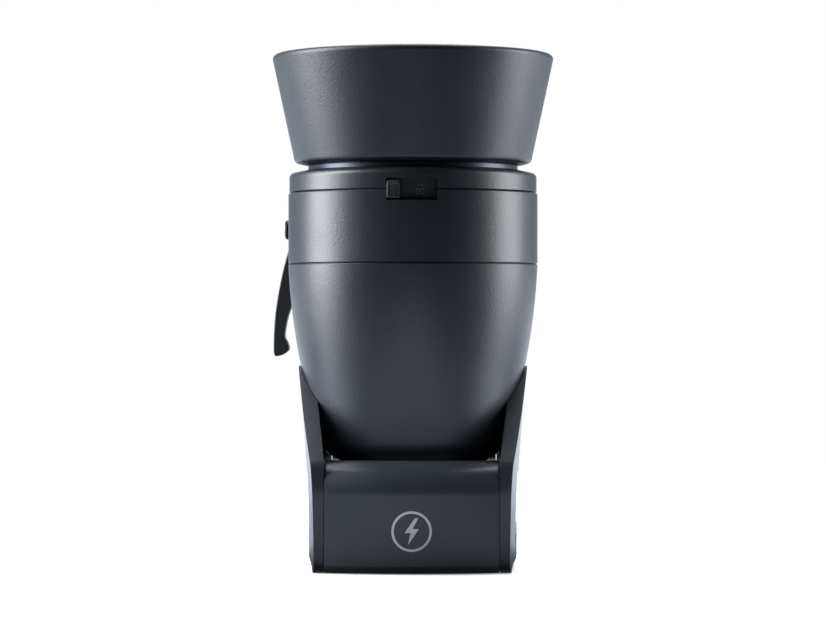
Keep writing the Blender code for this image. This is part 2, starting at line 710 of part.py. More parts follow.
def make_fan_frame():
    frame = box("fan_frame", (-FAN_HALF, -FAN_HALF, FAN_Z), (FAN_HALF, FAN_HALF, FAN_Z + FAN_T),
                BLACK_PLASTIC, 2.0)
    bore = cylinder("cut_fan_bore", FAN_HALF - 1.8, FAN_Z + 1.5, FAN_Z + FAN_T + 3, segments=32, cutter=True)
    cut(frame, bore)
    for i in range(4):
        a = math.radians(45 + 90 * i)
        hole = flat_outline(f"cut_fan_grille_{i + 1}",
                            arc(0, 0, 26, 10 + 90 * i, 80 + 90 * i, 6)
                            + arc(0, 0, 15, 80 + 90 * i, 10 + 90 * i, 4),
                            FAN_Z - 3, FAN_Z + 3, cutter=True)
        cut(frame, hole)
    return frame


def make_fan_impeller():
    """Seven swept blades round a hub, drawn as one outline."""
    blades = 7
    points = []
    for i in range(blades):
        base = 360 / blades * i
        for radius, angle in ((13.0, base), (20.0, base + 12), (26.8, base + 28), (26.8, base + 32),
                              (20.0, base + 17), (13.0, base + 8), (13.0, base + 24), (13.0, base + 38)):
            a = math.radians(angle)
            points.append((radius * math.cos(a), radius * math.sin(a)))
    return flat_outline("fan_impeller", points, FAN_Z + 2.5, FAN_Z + FAN_T - 1.5, BLACK_PLASTIC)


def make_heat_sink():
    """A comb of fins under the front bulkhead."""
    top = BULKHEAD_TOP - 3.0 - GAP
    low = FAN_Z + FAN_T + 1.0
    half = 22.0
    fins = 8
    pitch = 2 * half / fins
    points = [(-half, top), (half, top)]
    for i in range(fins):
        right = half - i * pitch
        points += [(right, low), (right - pitch * 0.45, low)]
        if i < fins - 1:
            points += [(right - pitch * 0.45, top - 3), (right - pitch, top - 3)]
    points[-1] = (-half, low)
    return flat_outline("led_heat_sink", points, -half, half, ALUMINIUM, axis="Y")


# ---------------------------------------------------------------- rear frame

def handle_line(inset):
    """The handle bar's section as (y, z) points, from the foot of the front face, over the top
    and down to the foot of the inner face."""
    front, inner = HANDLE_FRONT_Y, HANDLE_INNER_Y
    top_r, foot_r = HANDLE_TOP_R, HANDLE_FOOT_R
    inner_r = inner - front - top_r
    points = arc(front + foot_r, foot_r, foot_r - inset, 270, 180, 3)
    points += arc(front + top_r, HANDLE_TOP_Z - top_r, top_r - inset, 180, 90, 7)
    points += arc(inner - inner_r, HANDLE_TOP_Z - inner_r, max(0.1, inner_r - inset), 90, 0, 3)[1:]
    points += [(inner - inset, inset)]
    return points


COVER_POINTS = 12          # points of the handle line that belong to the front cover


def bowed_bar(name, outline, mat):
    """A section of (y, z) points lofted across the bar, following the bow of its front face."""
    half = CHEEK_INNER_X - GAP
    steps = 8
    sections = []
    for i in range(steps + 1):
        x = half * (2 * i / steps - 1)
        sections.append([(x, y + bulge(x), z) for y, z in outline])
    return lofted(name, sections, mat)


def make_handle_cover():
    outer = handle_line(0.0)[:COVER_POINTS]
    inner = handle_line(HANDLE_WALL)[:COVER_POINTS]
    return bowed_bar("handle_cover", outer + inner[::-1], SATIN_PAINT)


def make_handle_core():
    """The inner half of the bar, with the flat foot that the head rests on."""
    outer = handle_line(0.0)[COVER_POINTS - 1:]
    inner = handle_line(HANDLE_WALL)[COVER_POINTS - 1:]
    seam = outer[0][0] + GAP
    foot_front = HANDLE_FRONT_Y + HANDLE_FOOT_R + GAP
    outline = [(seam, outer[0][1])] + outer[1:-1] + [(outer[-1][0], 0.0)]
    outline += [(foot_front, 0.0), (foot_front, HANDLE_WALL)]
    outline += [(inner[-1][0], HANDLE_WALL)] + inner[1:-1][::-1] + [(seam, inner[0][1])]
    return bowed_bar("handle_core", outline, BLACK_PLASTIC)


def near_edge(z):
    """Front edge of a cheek at height z: flat beside the bar, then slanting to the tip."""
    flat = HANDLE_FRONT_Y + bulge((CHEEK_INNER_X + CHEEK_REAR_X) / 2 - 1.5)
    slope = (-flat - 2.2 - TIP_HALF_DEPTH) / (CHEEK_TIP_Z - CHEEK_CREASE_Z)
    slant = -(TIP_HALF_DEPTH + slope * (CHEEK_TIP_Z - z))
    if z >= CHEEK_CREASE_Z:
        return slant
    roll_z = HANDLE_TOP_Z - HANDLE_TOP_R
    if z > roll_z:
        return flat + 2.2 * ((z - roll_z) / (CHEEK_CREASE_Z - roll_z)) ** 2
    low = max(0.0, HANDLE_FOOT_R - z)
    return flat + HANDLE_FOOT_R - math.sqrt(HANDLE_FOOT_R ** 2 - low ** 2)


def far_edge(z):
    """Rear edge of a cheek at height z, which slants to the tip as the front edge does."""
    slope = (BOX_BACK_Y - TIP_HALF_DEPTH) / (CHEEK_TIP_Z - CHEEK_CREASE_Z)
    return min(BOX_BACK_Y, TIP_HALF_DEPTH + slope * (CHEEK_TIP_Z - z))


VENT_LOW_Y, VENT_HIGH_Y = -30.0, 26.0
VENT_LOW_Z, VENT_HIGH_Z = 20.0, 46.0
CHEEK_SCREWS = ((-28.0, 14.5), (30.0, 14.5))


def make_cheek(name, side):
    """A side cheek: a loft of level sections, hollowed to hug the tapered shell."""
    levels = [0.0, 1.5, 3.5, 6.5, 20.0, HANDLE_TOP_Z - HANDLE_TOP_R, 44.0, CHEEK_CREASE_Z]
    rise = CHEEK_TIP_Z - CHEEK_CREASE_Z
    levels += [CHEEK_CREASE_Z + rise * share for share in (0.2, 0.4, 0.6, 0.8, 0.93, 1.0)]
    sections = []
    for z in levels:
        near, far = near_edge(z), far_edge(z)
        if z == CHEEK_TIP_Z:
            near, far = near * 0.4, far * 0.4
        inner = CHEEK_INNER_X + max(0.0, z - HANDLE_TOP_Z) * CHEEK_FLARE
        points = [(inner, near, z)]
        for share in (0.0, 0.12, 0.3, 0.5, 0.7, 0.86, 0.95, 1.0):
            y = near + (far - near) * share
            points.append((max(inner + 0.2, cheek_x(z, y)), y, z))
        points.append((inner, far, z))
        sections.append([(side * x, y, z) for x, y, z in points])
    cheek = lofted(name, sections, SATIN_PAINT)
    cutter_name = "cut_shell_in_cheeks"
    cutter = bpy.data.objects.get(cutter_name)
    if cutter is None:
        clear = shell_profile(-GAP)
        cutter = turned(cutter_name, clear + [(0.0, SEAM_Z)], segments=BODY_SEGMENTS, cutter=True)
    vent_x = sorted((side * (CHEEK_INNER_X - 7), side * (CHEEK_REAR_X + 8)))
    vent = box(f"cut_vent_{side}", (vent_x[0], VENT_LOW_Y, VENT_LOW_Z),
               (vent_x[1], VENT_HIGH_Y, VENT_HIGH_Z), cutter=True)
    cut(cheek, cutter, vent)
    for i, (y, z) in enumerate(CHEEK_SCREWS):
        x = cheek_x(z, y)
        low, high = sorted((side * (x - 1.6), side * (x + 3)))
        cut(cheek, cylinder(f"cut_cheek_screw_{side}_{i}", 3.0, low, high, segments=16, axis="X",
                            at=(0, y, z), cutter=True))
    return cheek


def make_vent_grille(name, side):
    """A louvred insert that fills the cheek's side opening a little below its surface."""
    outer = min(cheek_x(VENT_LOW_Z, VENT_LOW_Y), cheek_x(VENT_LOW_Z, VENT_HIGH_Y)) - 0.9
    inner = CHEEK_INNER_X + GAP
    low, high = sorted((side * inner, side * outer))
    grille = box(name, (low, VENT_LOW_Y + GAP, VENT_LOW_Z + GAP),
                 (high, VENT_HIGH_Y - GAP, VENT_HIGH_Z - GAP), BLACK_PLASTIC, 0.5)
    rows = 5
    pitch = (VENT_HIGH_Z - VENT_LOW_Z) / rows
    face_low, face_high = sorted((side * (inner + 2), side * (outer + 5)))
    for i in range(rows):
        z = VENT_LOW_Z + pitch * (i + 0.5)
        slot = box(f"cut_louvre_{side}_{i}", (face_low, VENT_LOW_Y + 4, z - 1.2),
                   (face_high, VENT_HIGH_Y - 4, z + 1.2), cutter=True)
        cut(grille, slot)
    # Only the part beside the box is open right through
    cut(grille, box_vent_cutter())
    return grille


def box_vent_cutter():
    name = "cut_box_vent"
    if name in bpy.data.objects:
        return bpy.data.objects[name]
    wide = CHEEK_INNER_X + GAP + 2.5
    return box(name, (-wide, BOX_RIB / 2 + 4, VENT_LOW_Z + 3), (wide, VENT_HIGH_Y - 5, VENT_HIGH_Z - 4),
               cutter=True)


def make_cheek_screws():
    number = 0
    for side in (-1, 1):
        for y, z in CHEEK_SCREWS:
            number += 1
            x = cheek_x(z, y)
            low, high = sorted((side * (x - 1.3), side * (x - 0.2)))
            cylinder(f"cheek_screw_{number}", 2.6, low, high, STEEL, 16, axis="X", at=(0, y, z))


BOX_HALF = CHEEK_INNER_X - GAP


def make_rear_box():
    """Holds the battery and the controls. Its front wall is the rib that stands on the rest plane
    under the optical axis, and its back wall ends in a lip."""
    rear = box("rear_box", (-BOX_HALF, -BOX_RIB / 2, 0), (BOX_HALF, BOX_BACK_Y, BOX_LIP_Z), SATIN_PAINT)
    cavity = box("cut_box_cavity", (-BOX_HALF + WALL, BOX_RIB / 2, -2),
                 (BOX_HALF - WALL, BOX_BACK_Y - 3, BOX_TOP_Z - WALL), cutter=True)
    over = box("cut_box_over", (-BOX_HALF - 2, -BOX_RIB, BOX_TOP_Z),
               (BOX_HALF + 2, BOX_BACK_Y - 3, BOX_LIP_Z + 2), cutter=True)
    cut(rear, cavity, over, cable_hole_cutter(), box_vent_cutter())
    return rear


PANEL_HALF = BOX_HALF - WALL - GAP
PANEL_LOW_Y = BOX_RIB / 2 + GAP
PANEL_HIGH_Y = BOX_BACK_Y - 3 - GAP
PANEL_TOP = PANEL_Z + PANEL_T
DISPLAY = (-PANEL_HALF + 20.9, PANEL_LOW_Y + 15.2, 18.0, 11.0)    # centre x and y, half width and height
DIAL = (PANEL_HALF - 18.9, PANEL_LOW_Y + 19.2)
DIAL_R = 12.5
DIAL_STEM_R = 3.0
BUTTON_Y = PANEL_HIGH_Y - 8.7
BUTTONS = tuple((-PANEL_HALF + 8.9 + 12.0 * i, BUTTON_Y) for i in range(3))
POWER = (PANEL_HALF - 5.4, PANEL_HIGH_Y - 6.7)
USB = (PANEL_HALF - 26.4, PANEL_HIGH_Y - 6.7)
USB_FLAP = (6.2, 3.3)


def block(name, centre, half, low, high, mat=None, edge=0.0, cutter=False):
    return box(name, (centre[0] - half[0], centre[1] - half[1], low),
               (centre[0] + half[0], centre[1] + half[1], high), mat, edge, cutter)


def make_panel():
    panel = box("control_panel", (-PANEL_HALF, PANEL_LOW_Y, PANEL_Z), (PANEL_HALF, PANEL_HIGH_Y, PANEL_TOP),
                BLACK_PLASTIC)
    under, over = PANEL_Z - 3, PANEL_TOP + 3
    cut(panel, block("cut_display", DISPLAY[:2], DISPLAY[2:], under, over, cutter=True))
    for i, spot in enumerate(BUTTONS):
        cut(panel, block(f"cut_button_{i + 1}", spot, (4.5, 3.0), under, over, cutter=True))
    cut(panel, cylinder("cut_power", 3.9, under, over, segments=20, at=(*POWER, 0), cutter=True))
    cut(panel, cylinder("cut_dial", DIAL_STEM_R + GAP, under, over, segments=20, at=(*DIAL, 0), cutter=True))
    cut(panel, block("cut_usb", USB, (5.2, 2.3), under, over, cutter=True))
    return panel


def make_display():
    half = (DISPLAY[2] - GAP, DISPLAY[3] - GAP)
    return block("display_window", DISPLAY[:2], half, PANEL_Z + 0.3, PANEL_Z + 1.8, GLASS)


def make_control_board():
    return box("control_board", (-PANEL_HALF + 1, PANEL_LOW_Y + 1, PANEL_TOP + 5),
               (PANEL_HALF - 1, PANEL_HIGH_Y - 1, PANEL_TOP + 6.6), BOARD)


def make_encoder():
    encoder = block("encoder_body", DIAL, (6, 6), PANEL_TOP + GAP, PANEL_TOP + 4.6, STEEL, 0.4)
    cut(encoder, cylinder("cut_encoder_shaft", DIAL_STEM_R + RUNNING, PANEL_TOP - 2, PANEL_TOP + 3.8,
                          segments=16, at=(*DIAL, 0), cutter=True))
    return encoder


def make_menu_button(number, spot):
    """A button cap with a flange behind the panel that keeps it in."""
    cap = block(f"menu_button_{number}", spot, (4.2, 2.7), PANEL_Z - 1.2, PANEL_TOP + 0.8, SOFT_BLACK, 0.4)
    join(cap, block(f"join_button_flange_{number}", spot, (5.2, 3.7), PANEL_TOP + GAP, PANEL_TOP + 1.4,
                    cutter=True))
    return cap


def make_power_button():
    profile = [(0, PANEL_TOP + 1.4), (4.6, PANEL_TOP + 1.4), (4.6, PANEL_TOP + GAP), (3.6, PANEL_TOP + GAP),
               (3.6, PANEL_Z - 0.9), (3.2, PANEL_Z - 1.2), (0, PANEL_Z - 1.2)]
    return turned("power_button", profile, SOFT_BLACK, 20, at=(*POWER, 0))


def make_usb_port():
    port = block("usb_port", USB, (4.5, 1.6), PANEL_TOP - 1.5, PANEL_TOP + 4.7, STEEL, 0.8)
    cut(port, block("cut_usb_mouth", USB, (4.1, 1.2), PANEL_TOP - 4, PANEL_TOP + 3.5, cutter=True))
    return port


def make_usb_flap():
    flap = block("usb_flap", USB, USB_FLAP, PANEL_Z - 1.3, PANEL_Z - GAP, SOFT_BLACK, 0.3)
    move_origin(flap, (USB[0], USB[1] + USB_FLAP[1], PANEL_Z - GAP))
    return flap


def make_dial():
    """A cup-shaped knob with the stem that turns in the encoder."""
    low = PANEL_Z - 8.2
    high = PANEL_Z - 0.9
    stem = DIAL_STEM_R
    profile = [(0, low), (DIAL_R - 2.0, low), (DIAL_R - 0.6, low + 0.6), (DIAL_R, low + 1.6), (DIAL_R, high),
               (DIAL_R - 2, high), (DIAL_R - 2, low + 2.2), (stem, low + 2.2), (stem, PANEL_TOP + 3.0),
               (0, PANEL_TOP + 3.0)]
    return turned("encoder_knob", profile, BLACK_PLASTIC, 28, at=(*DIAL, 0))


def make_battery():
    return box("battery_pack", (-BOX_HALF + WALL + 1, BOX_RIB / 2 + 1.5, PANEL_TOP + 9),
               (BOX_HALF - WALL - 1, BOX_BACK_Y - 4.5, BOX_TOP_Z - WALL - 1), WRAP, 1.5)


# ---------------------------------------------------------------- stand bracket

FOOT_TOP_Y = PIVOT_Y - KNUCKLE_R - 1.0
PIVOT = (0, PIVOT_Y, PIVOT_Z)


def make_tilt_base():
    """A saddle on the barrel with two ears that carry the tilt bolt."""
    half_z = EAR_R + 1.5
    base = box("tilt_base", (-EAR_END_X, 40, PIVOT_Z - half_z), (EAR_END_X, FOOT_TOP_Y, PIVOT_Z + half_z),
               ALUMINIUM)
    for side in (-1, 1):
        low, high = sorted((side * EAR_X, side * EAR_END_X))
        ear = cylinder(f"join_ear_{side}", EAR_R, low, high, segments=32, axis="X", at=PIVOT, cutter=True)
        web = box(f"join_web_{side}", (low, FOOT_TOP_Y - 3, PIVOT_Z - EAR_R),
                  (high, PIVOT_Y, PIVOT_Z + EAR_R), cutter=True)
        join(base, ear, web)
    barrel = cylinder("cut_barrel_seat", BARREL_R + GAP, PIVOT_Z - 40, PIVOT_Z + 40,
                      segments=BODY_SEGMENTS, cutter=True)
    hole = cylinder("cut_bolt_hole", BOLT_R + RUNNING, -EAR_END_X - 5, EAR_END_X + 5, segments=20,
                    axis="X", at=PIVOT, cutter=True)
    cut(base, barrel, hole)
    for i, (x, z) in enumerate(BASE_SCREWS):
        spot = (x, 0, PIVOT_Z + z)
        head = cylinder(f"cut_base_screw_{i}", 3.6, FOOT_TOP_Y - 3.2, FOOT_TOP_Y + 3, segments=16,
                        axis="Y", at=spot, cutter=True)
        cut(base, head)
    return base


BASE_SCREWS = ((0.0, -9.5), (0.0, 9.5))


def make_base_screws():
    """Socket head screws that hold the saddle to the barrel."""
    top = FOOT_TOP_Y - 0.4
    for number, (x, z) in enumerate(BASE_SCREWS, 1):
        profile = [(0, top - 2.2), (3.3, top - 2.2), (3.3, top), (1.6, top), (1.6, top - 1.2), (0, top - 1.2)]
        turned(f"base_screw_{number}", profile, STEEL, 16, axis="Y", at=(x, 0, PIVOT_Z + z))


def make_stand_bracket():
    bracket = cylinder("stand_bracket", KNUCKLE_R, -KNUCKLE_HALF, KNUCKLE_HALF, ALUMINIUM, 32,
                       axis="X", at=PIVOT)
    neck = box("join_neck", (-SOCKET_R + 1, PIVOT_Y + 4, PIVOT_Z - KNUCKLE_R + 2),
               (SOCKET_R - 1, UMBRELLA_Y + 8, PIVOT_Z + KNUCKLE_R - 2), cutter=True)
    socket = turned("join_socket", [
        (0, SOCKET_END_Y), (SOCKET_R - 1, SOCKET_END_Y), (SOCKET_R, SOCKET_END_Y - 1),
        (SOCKET_R, UMBRELLA_Y - 5), (0, UMBRELLA_Y - 5)], segments=32, axis="Y", at=(0, 0, PIVOT_Z),
        cutter=True)
    join(bracket, neck, socket)
    bolt = cylinder("cut_knuckle_bolt", BOLT_R + RUNNING, -60, 60, segments=20, axis="X", at=PIVOT,
                    cutter=True)
    bore = cylinder("cut_spigot_bore", SOCKET_BORE_R, SOCKET_END_Y - SOCKET_DEPTH, SOCKET_END_Y + 10,
                    segments=32, axis="Y", at=(0, 0, PIVOT_Z), cutter=True)
    umbrella = cylinder("cut_umbrella_bore", UMBRELLA_BORE_R, PIVOT_Z - 40, PIVOT_Z + 40, segments=20,
                        at=(0, UMBRELLA_Y, 0), cutter=True)
    stand = cylinder("cut_stand_screw", STAND_SCREW_R + RUNNING, 2, 40, segments=20, axis="X",
                     at=(0, STAND_SCREW_Y, PIVOT_Z), cutter=True)
    clamp = cylinder("cut_umbrella_screw", UMBRELLA_SCREW_R + RUNNING, 2, 40, segments=16, axis="X",
                     at=(0, UMBRELLA_Y, PIVOT_Z), cutter=True)
    cut(bracket, bolt, bore, umbrella, stand, clamp)
    return bracket


STAND_SCREW_Y = SOCKET_END_Y - 14.0
STAND_SCREW_R = 4.0
UMBRELLA_SCREW_R = 2.5


def make_friction_disc(name, side):
    low, high = sorted((side * (KNUCKLE_HALF + GAP), side * (KNUCKLE_HALF + GAP + DISC_T)))
    return ring(name, BOLT_R + 0.6, KNUCKLE_R - 0.5, low, high, SOFT_BLACK, 24, axis="X", at=PIVOT)


def star(radius, depth, lobes, steps=4):
    """A lobed knob outline."""
    points = []
    count = lobes * steps * 2
    for i in range(count):
        a = 2 * math.pi * i / count
        r = radius - depth * (0.5 - 0.5 * math.cos(lobes * a))
        points.append((r * math.cos(a), r * math.sin(a)))
    return points


def make_clamp_pad():
    """The soft tip of the stand clamp, which grips the spigot in the bore."""
    return cylinder("stand_clamp_pad", STAND_SCREW_R - 0.1, SOCKET_BORE_R + 0.4, SOCKET_BORE_R + 1.8,
                    SOFT_BLACK, 16, axis="X", at=(0, STAND_SCREW_Y, PIVOT_Z))


def make_clamp_screw(kind, y, screw_r, tip_x, face_x, knob_r, knob_t, lobes):
    """A lobed knob with its screw along +X."""
    knob = flat_outline(f"{kind}_clamp_knob", star(knob_r, knob_r * 0.16, lobes),
                        face_x, face_x + knob_t, SOFT_BLACK, axis="X", at=(0, y, PIVOT_Z))
    screw = cylinder(f"join_{kind}_screw", screw_r, tip_x, face_x + knob_t - 1, segments=16,
                     axis="X", at=(0, y, PIVOT_Z), cutter=True)
    join(knob, screw)
    return knob


LEVER_HUB_IN = EAR_END_X + 1.3
LEVER_HUB_OUT = 62.0
LEVER_HUB_R = 9.5
CAP_R = 4.9
CAP_END = 65.7


def make_clamp_bolt():
    profile = [(0, EAR_END_X + 6.0), (BOLT_R - 0.6, EAR_END_X + 6.0), (BOLT_R, EAR_END_X + 5.4),
               (BOLT_R, -LEVER_HUB_OUT + 6), (0, -LEVER_HUB_OUT + 6)]
    return turned("clamp_bolt", profile, STEEL, 20, axis="X", at=PIVOT)


def make_lever_cap():
    """The screw that holds the lever on its bolt, with a hexagon recess and a knurled rim."""
    inner = -LEVER_HUB_OUT + 6 - GAP
    profile = [(0, -CAP_END + 2.0), (2.0, -CAP_END + 2.0), (2.2, -CAP_END), (CAP_R - 0.8, -CAP_END),
               (CAP_R, -CAP_END + 0.8), (CAP_R, inner), (0, inner)]
    return turned("lever_cap_screw", profile, STEEL, 20, axis="X", at=PIVOT)


def make_clamp_nut():
    low = EAR_END_X + GAP
    hexagon = [(7.5 * math.cos(math.radians(60 * i)), 7.5 * math.sin(math.radians(60 * i))) for i in range(6)]
    nut = flat_outline("clamp_nut", hexagon, low, low + 5.0, STEEL, axis="X", at=PIVOT)
    cut(nut, cylinder("cut_nut", BOLT_R + RUNNING, low - 3, low + 9, segments=20, axis="X", at=PIVOT,
                      cutter=True))
    return nut


def make_lever():
    """A ratchet lever: a hub on the bolt and an arm that bends outwards and ends in a hook."""
    x_out = -71.4
    tip = -LEVER_REACH
    outer = [(-LEVER_HUB_OUT + 0.2, -2.0), (-63.2, -8.0), (-66.8, -21.5), (-69.6, -36.0), (-70.9, -47.0),
             (x_out, -60.5), (-71.0, tip + 0.9), (-70.0, tip), (-66.6, tip + 0.8), (-63.9, tip + 2.8),
             (-63.5, tip + 4.4), (-64.3, tip + 7.2), (-65.6, tip + 10.0), (-64.9, -48.0), (-63.7, -43.0),
             (-61.3, -36.0), (-58.0, -24.0), (-55.0, -10.0), (-54.0, -2.0)]
    scale = LEVER_REACH / 64.0
    outline = [(x, z * scale) for x, z in outer]
    lever = flat_outline("tilt_lever", outline, -5.5, 5.5, SOFT_BLACK, axis="Y", at=PIVOT)
    round_edges(lever, 1.4, 2, 50)
    hub = turned("join_lever_hub", [
        (0, -LEVER_HUB_IN), (LEVER_HUB_R - 1.5, -LEVER_HUB_IN), (LEVER_HUB_R, -LEVER_HUB_IN - 4),
        (LEVER_HUB_R, -LEVER_HUB_OUT + 1), (LEVER_HUB_R - 1, -LEVER_HUB_OUT), (0, -LEVER_HUB_OUT)],
        segments=24, axis="X", at=PIVOT, cutter=True)
    join(lever, hub)
    bore = cylinder("cut_lever_bore", BOLT_R + RUNNING, -LEVER_HUB_OUT - 5, -LEVER_HUB_IN + 5, segments=20,
                    axis="X", at=PIVOT, cutter=True)
    deep = cylinder("cut_lever_deep", CAP_R + 0.5, -LEVER_HUB_OUT - 5, -LEVER_HUB_OUT + 11, segments=20,
                    axis="X", at=PIVOT, cutter=True)
    cut(lever, bore, deep)
    return lever


# ---------------------------------------------------------------- build

def build():
    make_main_shell()
    make_barrel()
    make_front_ring()
    make_collar()
    lock_ring = make_lock_ring()
    slider = make_lock_slider()
    slider.parent = lock_ring
    for number, latch_angle in enumerate(LATCH_ANGLES, 1):
        make_latch(number, latch_angle)
    make_bulkhead()
    make_inner_pan()
    make_lamp_socket()
    make_modelling_led()
    make_flash_tube()
    make_dome()
    bowl = make_reflector_bowl()
    sleeve = make_reflector_sleeve()
    sleeve.parent = bowl
    for number in (1, 2, 3):
        make_capacitor(number)
    make_power_board()
    make_fan_frame()
    make_fan_impeller()
    make_heat_sink()
    make_handle_cover()
    make_handle_core()
    make_cheek("left_cheek", -1)
    make_cheek("right_cheek", 1)
    make_vent_grille("left_vent_grille", -1)
    make_vent_grille("right_vent_grille", 1)
    make_cheek_screws()
    make_rear_box()
    make_panel()
    make_display()
    make_control_board()
    make_encoder()
    for number, spot in enumerate(BUTTONS, 1):
        make_menu_button(number, spot)
    make_power_button()
    make_usb_port()
    make_usb_flap()
    make_dial()
    make_battery()
    make_tilt_base()
    make_base_screws()
    make_stand_bracket()
    make_friction_disc("left_friction_disc", -1)
    make_friction_disc("right_friction_disc", 1)
    make_clamp_pad()
    make_clamp_screw("stand", STAND_SCREW_Y, STAND_SCREW_R, SOCKET_BORE_R + 2.1, SOCKET_R + 9, 13.0, 13.0, 5)
    make_clamp_screw("umbrella", UMBRELLA_Y, UMBRELLA_SCREW_R, UMBRELLA_BORE_R + 0.5, SOCKET_R + 11,
                     6.0, 11.0, 6)
    make_clamp_bolt()
    make_lever_cap()
    make_clamp_nut()
    make_lever()
    for obj in PARTS.objects:
        obj.data.shade_smooth()
        obj.data.set_sharp_from_angle(angle=math.radians(35))
    bpy.context.view_layer.update()


build()
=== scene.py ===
import math

import bmesh
import bpy
from mathutils import Matrix, Vector


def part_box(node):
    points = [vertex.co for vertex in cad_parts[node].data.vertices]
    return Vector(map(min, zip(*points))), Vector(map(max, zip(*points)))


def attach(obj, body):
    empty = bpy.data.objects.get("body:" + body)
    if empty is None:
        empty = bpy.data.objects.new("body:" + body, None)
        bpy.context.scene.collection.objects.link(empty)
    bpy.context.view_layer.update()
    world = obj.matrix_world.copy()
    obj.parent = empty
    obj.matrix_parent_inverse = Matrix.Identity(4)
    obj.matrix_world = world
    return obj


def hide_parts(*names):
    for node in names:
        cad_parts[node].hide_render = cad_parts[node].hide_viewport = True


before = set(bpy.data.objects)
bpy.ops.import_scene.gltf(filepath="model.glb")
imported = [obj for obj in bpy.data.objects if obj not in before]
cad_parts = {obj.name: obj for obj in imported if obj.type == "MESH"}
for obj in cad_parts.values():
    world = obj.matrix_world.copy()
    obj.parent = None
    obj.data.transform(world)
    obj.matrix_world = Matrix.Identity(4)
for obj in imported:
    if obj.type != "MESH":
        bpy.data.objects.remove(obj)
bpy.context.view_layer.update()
mm = 0.001
sharpAngle = 32        # edges folded more than this, in degrees, are shaded sharp
mergeGap = 0.0005      # vertices nearer than this, in millimetres, become one
print("frame loaded:", len(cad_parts), "nodes")


# Helpers: sizes below are millimetres, and a piece is scaled to metres when it is added

def nodeBox(node):
    low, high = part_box(node)
    return low / mm, high / mm


def arcPoints(centreU, centreV, radius, startDeg, endDeg, count):
    points = []
    for i in range(count + 1):
        a = math.radians(startDeg + (endDeg - startDeg) * i / count)
        points.append((centreU + radius * math.cos(a), centreV + radius * math.sin(a)))
    return points


def hexagon(radius):
    return arcPoints(0, 0, radius, 0, 360, 6)[:-1]


def roundEdges(bm, radius, angle=30, segments=3):
    sharp = [edge for edge in bm.edges
             if len(edge.link_faces) == 2 and edge.calc_face_angle(0.0) >= math.radians(angle)]
    bmesh.ops.bevel(bm, geom=sharp, offset=radius, offset_type="OFFSET", segments=segments, profile=0.5,
                    affect="EDGES", material=-1, clamp_overlap=True)
    bmesh.ops.remove_doubles(bm, verts=bm.verts, dist=mergeGap)
    return bm


def turned(profile, steps=144, soften=0.0, closed=True, segments=3):
    # a profile of (radius, height) spun round the optical axis
    bm = bmesh.new()
    verts = [bm.verts.new((r, 0, z)) for r, z in profile]
    edges = [bm.edges.new(pair) for pair in zip(verts, verts[1:])]
    if closed:
        edges.append(bm.edges.new((verts[-1], verts[0])))
    bmesh.ops.spin(bm, geom=verts + edges, cent=(0, 0, 0), axis=(0, 0, 1), angle=math.tau, steps=steps,
                   use_merge=True)
    bmesh.ops.remove_doubles(bm, verts=bm.verts, dist=mergeGap)
    bmesh.ops.recalc_face_normals(bm, faces=bm.faces)
    if soften:
        roundEdges(bm, soften, segments=segments)
    return bm


def block(low, high, soften=0.0, segments=3):
    bm = bmesh.new()
    bmesh.ops.create_cube(bm, size=1.0)
    bmesh.ops.scale(bm, vec=[h - l for l, h in zip(low, high)], verts=bm.verts)
    bmesh.ops.translate(bm, vec=[(l + h) / 2 for l, h in zip(low, high)], verts=bm.verts)
    if soften:
        roundEdges(bm, soften, segments=segments)
    return bm


def rod(radius, low, high, axis="Z", at=(0, 0, 0), steps=48, soften=0.0):
    bm = bmesh.new()
    bmesh.ops.create_cone(bm, cap_ends=True, segments=steps, radius1=radius, radius2=radius, depth=high - low)
    bmesh.ops.translate(bm, vec=(0, 0, (low + high) / 2), verts=bm.verts)
    if soften:
        roundEdges(bm, soften)
    return laid(bm, axis, at)


def laid(bm, axis, at=(0, 0, 0)):
    # lays a shape made along Z along another axis, then puts it in place
    turns = {"X": (90, "Y"), "-X": (-90, "Y"), "Y": (-90, "X")}
    if axis in turns:
        degrees, about = turns[axis]
        swung(bm, degrees, axis=about)
    bmesh.ops.translate(bm, vec=at, verts=bm.verts)
    return bm


def swung(bm, degrees, cent=(0, 0, 0), axis="Z"):
    bmesh.ops.rotate(bm, cent=cent, matrix=Matrix.Rotation(math.radians(degrees), 3, axis), verts=bm.verts)
    return bm


def extruded(bm):
    # starts a thickness on every face, and returns the vertices to move
    grown = bmesh.ops.extrude_face_region(bm, geom=bm.faces[:])["geom"]
    return [item for item in grown if isinstance(item, bmesh.types.BMVert)]


def plate(points, low, high, axis="Z", at=(0, 0, 0), soften=0.0, segments=3):
    # an outline in XY, XZ (along Y) or YZ (along X), given a thickness
    place = {"Z": lambda u, v: (u, v, low), "Y": lambda u, v: (u, low, v),
             "X": lambda u, v: (low, u, v)}[axis]
    along = {"Z": (0, 0, 1), "Y": (0, 1, 0), "X": (1, 0, 0)}[axis]
    bm = bmesh.new()
    bm.faces.new([bm.verts.new(place(u, v)) for u, v in points])
    bmesh.ops.translate(bm, vec=Vector(along) * (high - low), verts=extruded(bm))
    bmesh.ops.translate(bm, vec=at, verts=bm.verts)
    bmesh.ops.recalc_face_normals(bm, faces=bm.faces)
    if soften:
        roundEdges(bm, soften, segments=segments)
    return bm


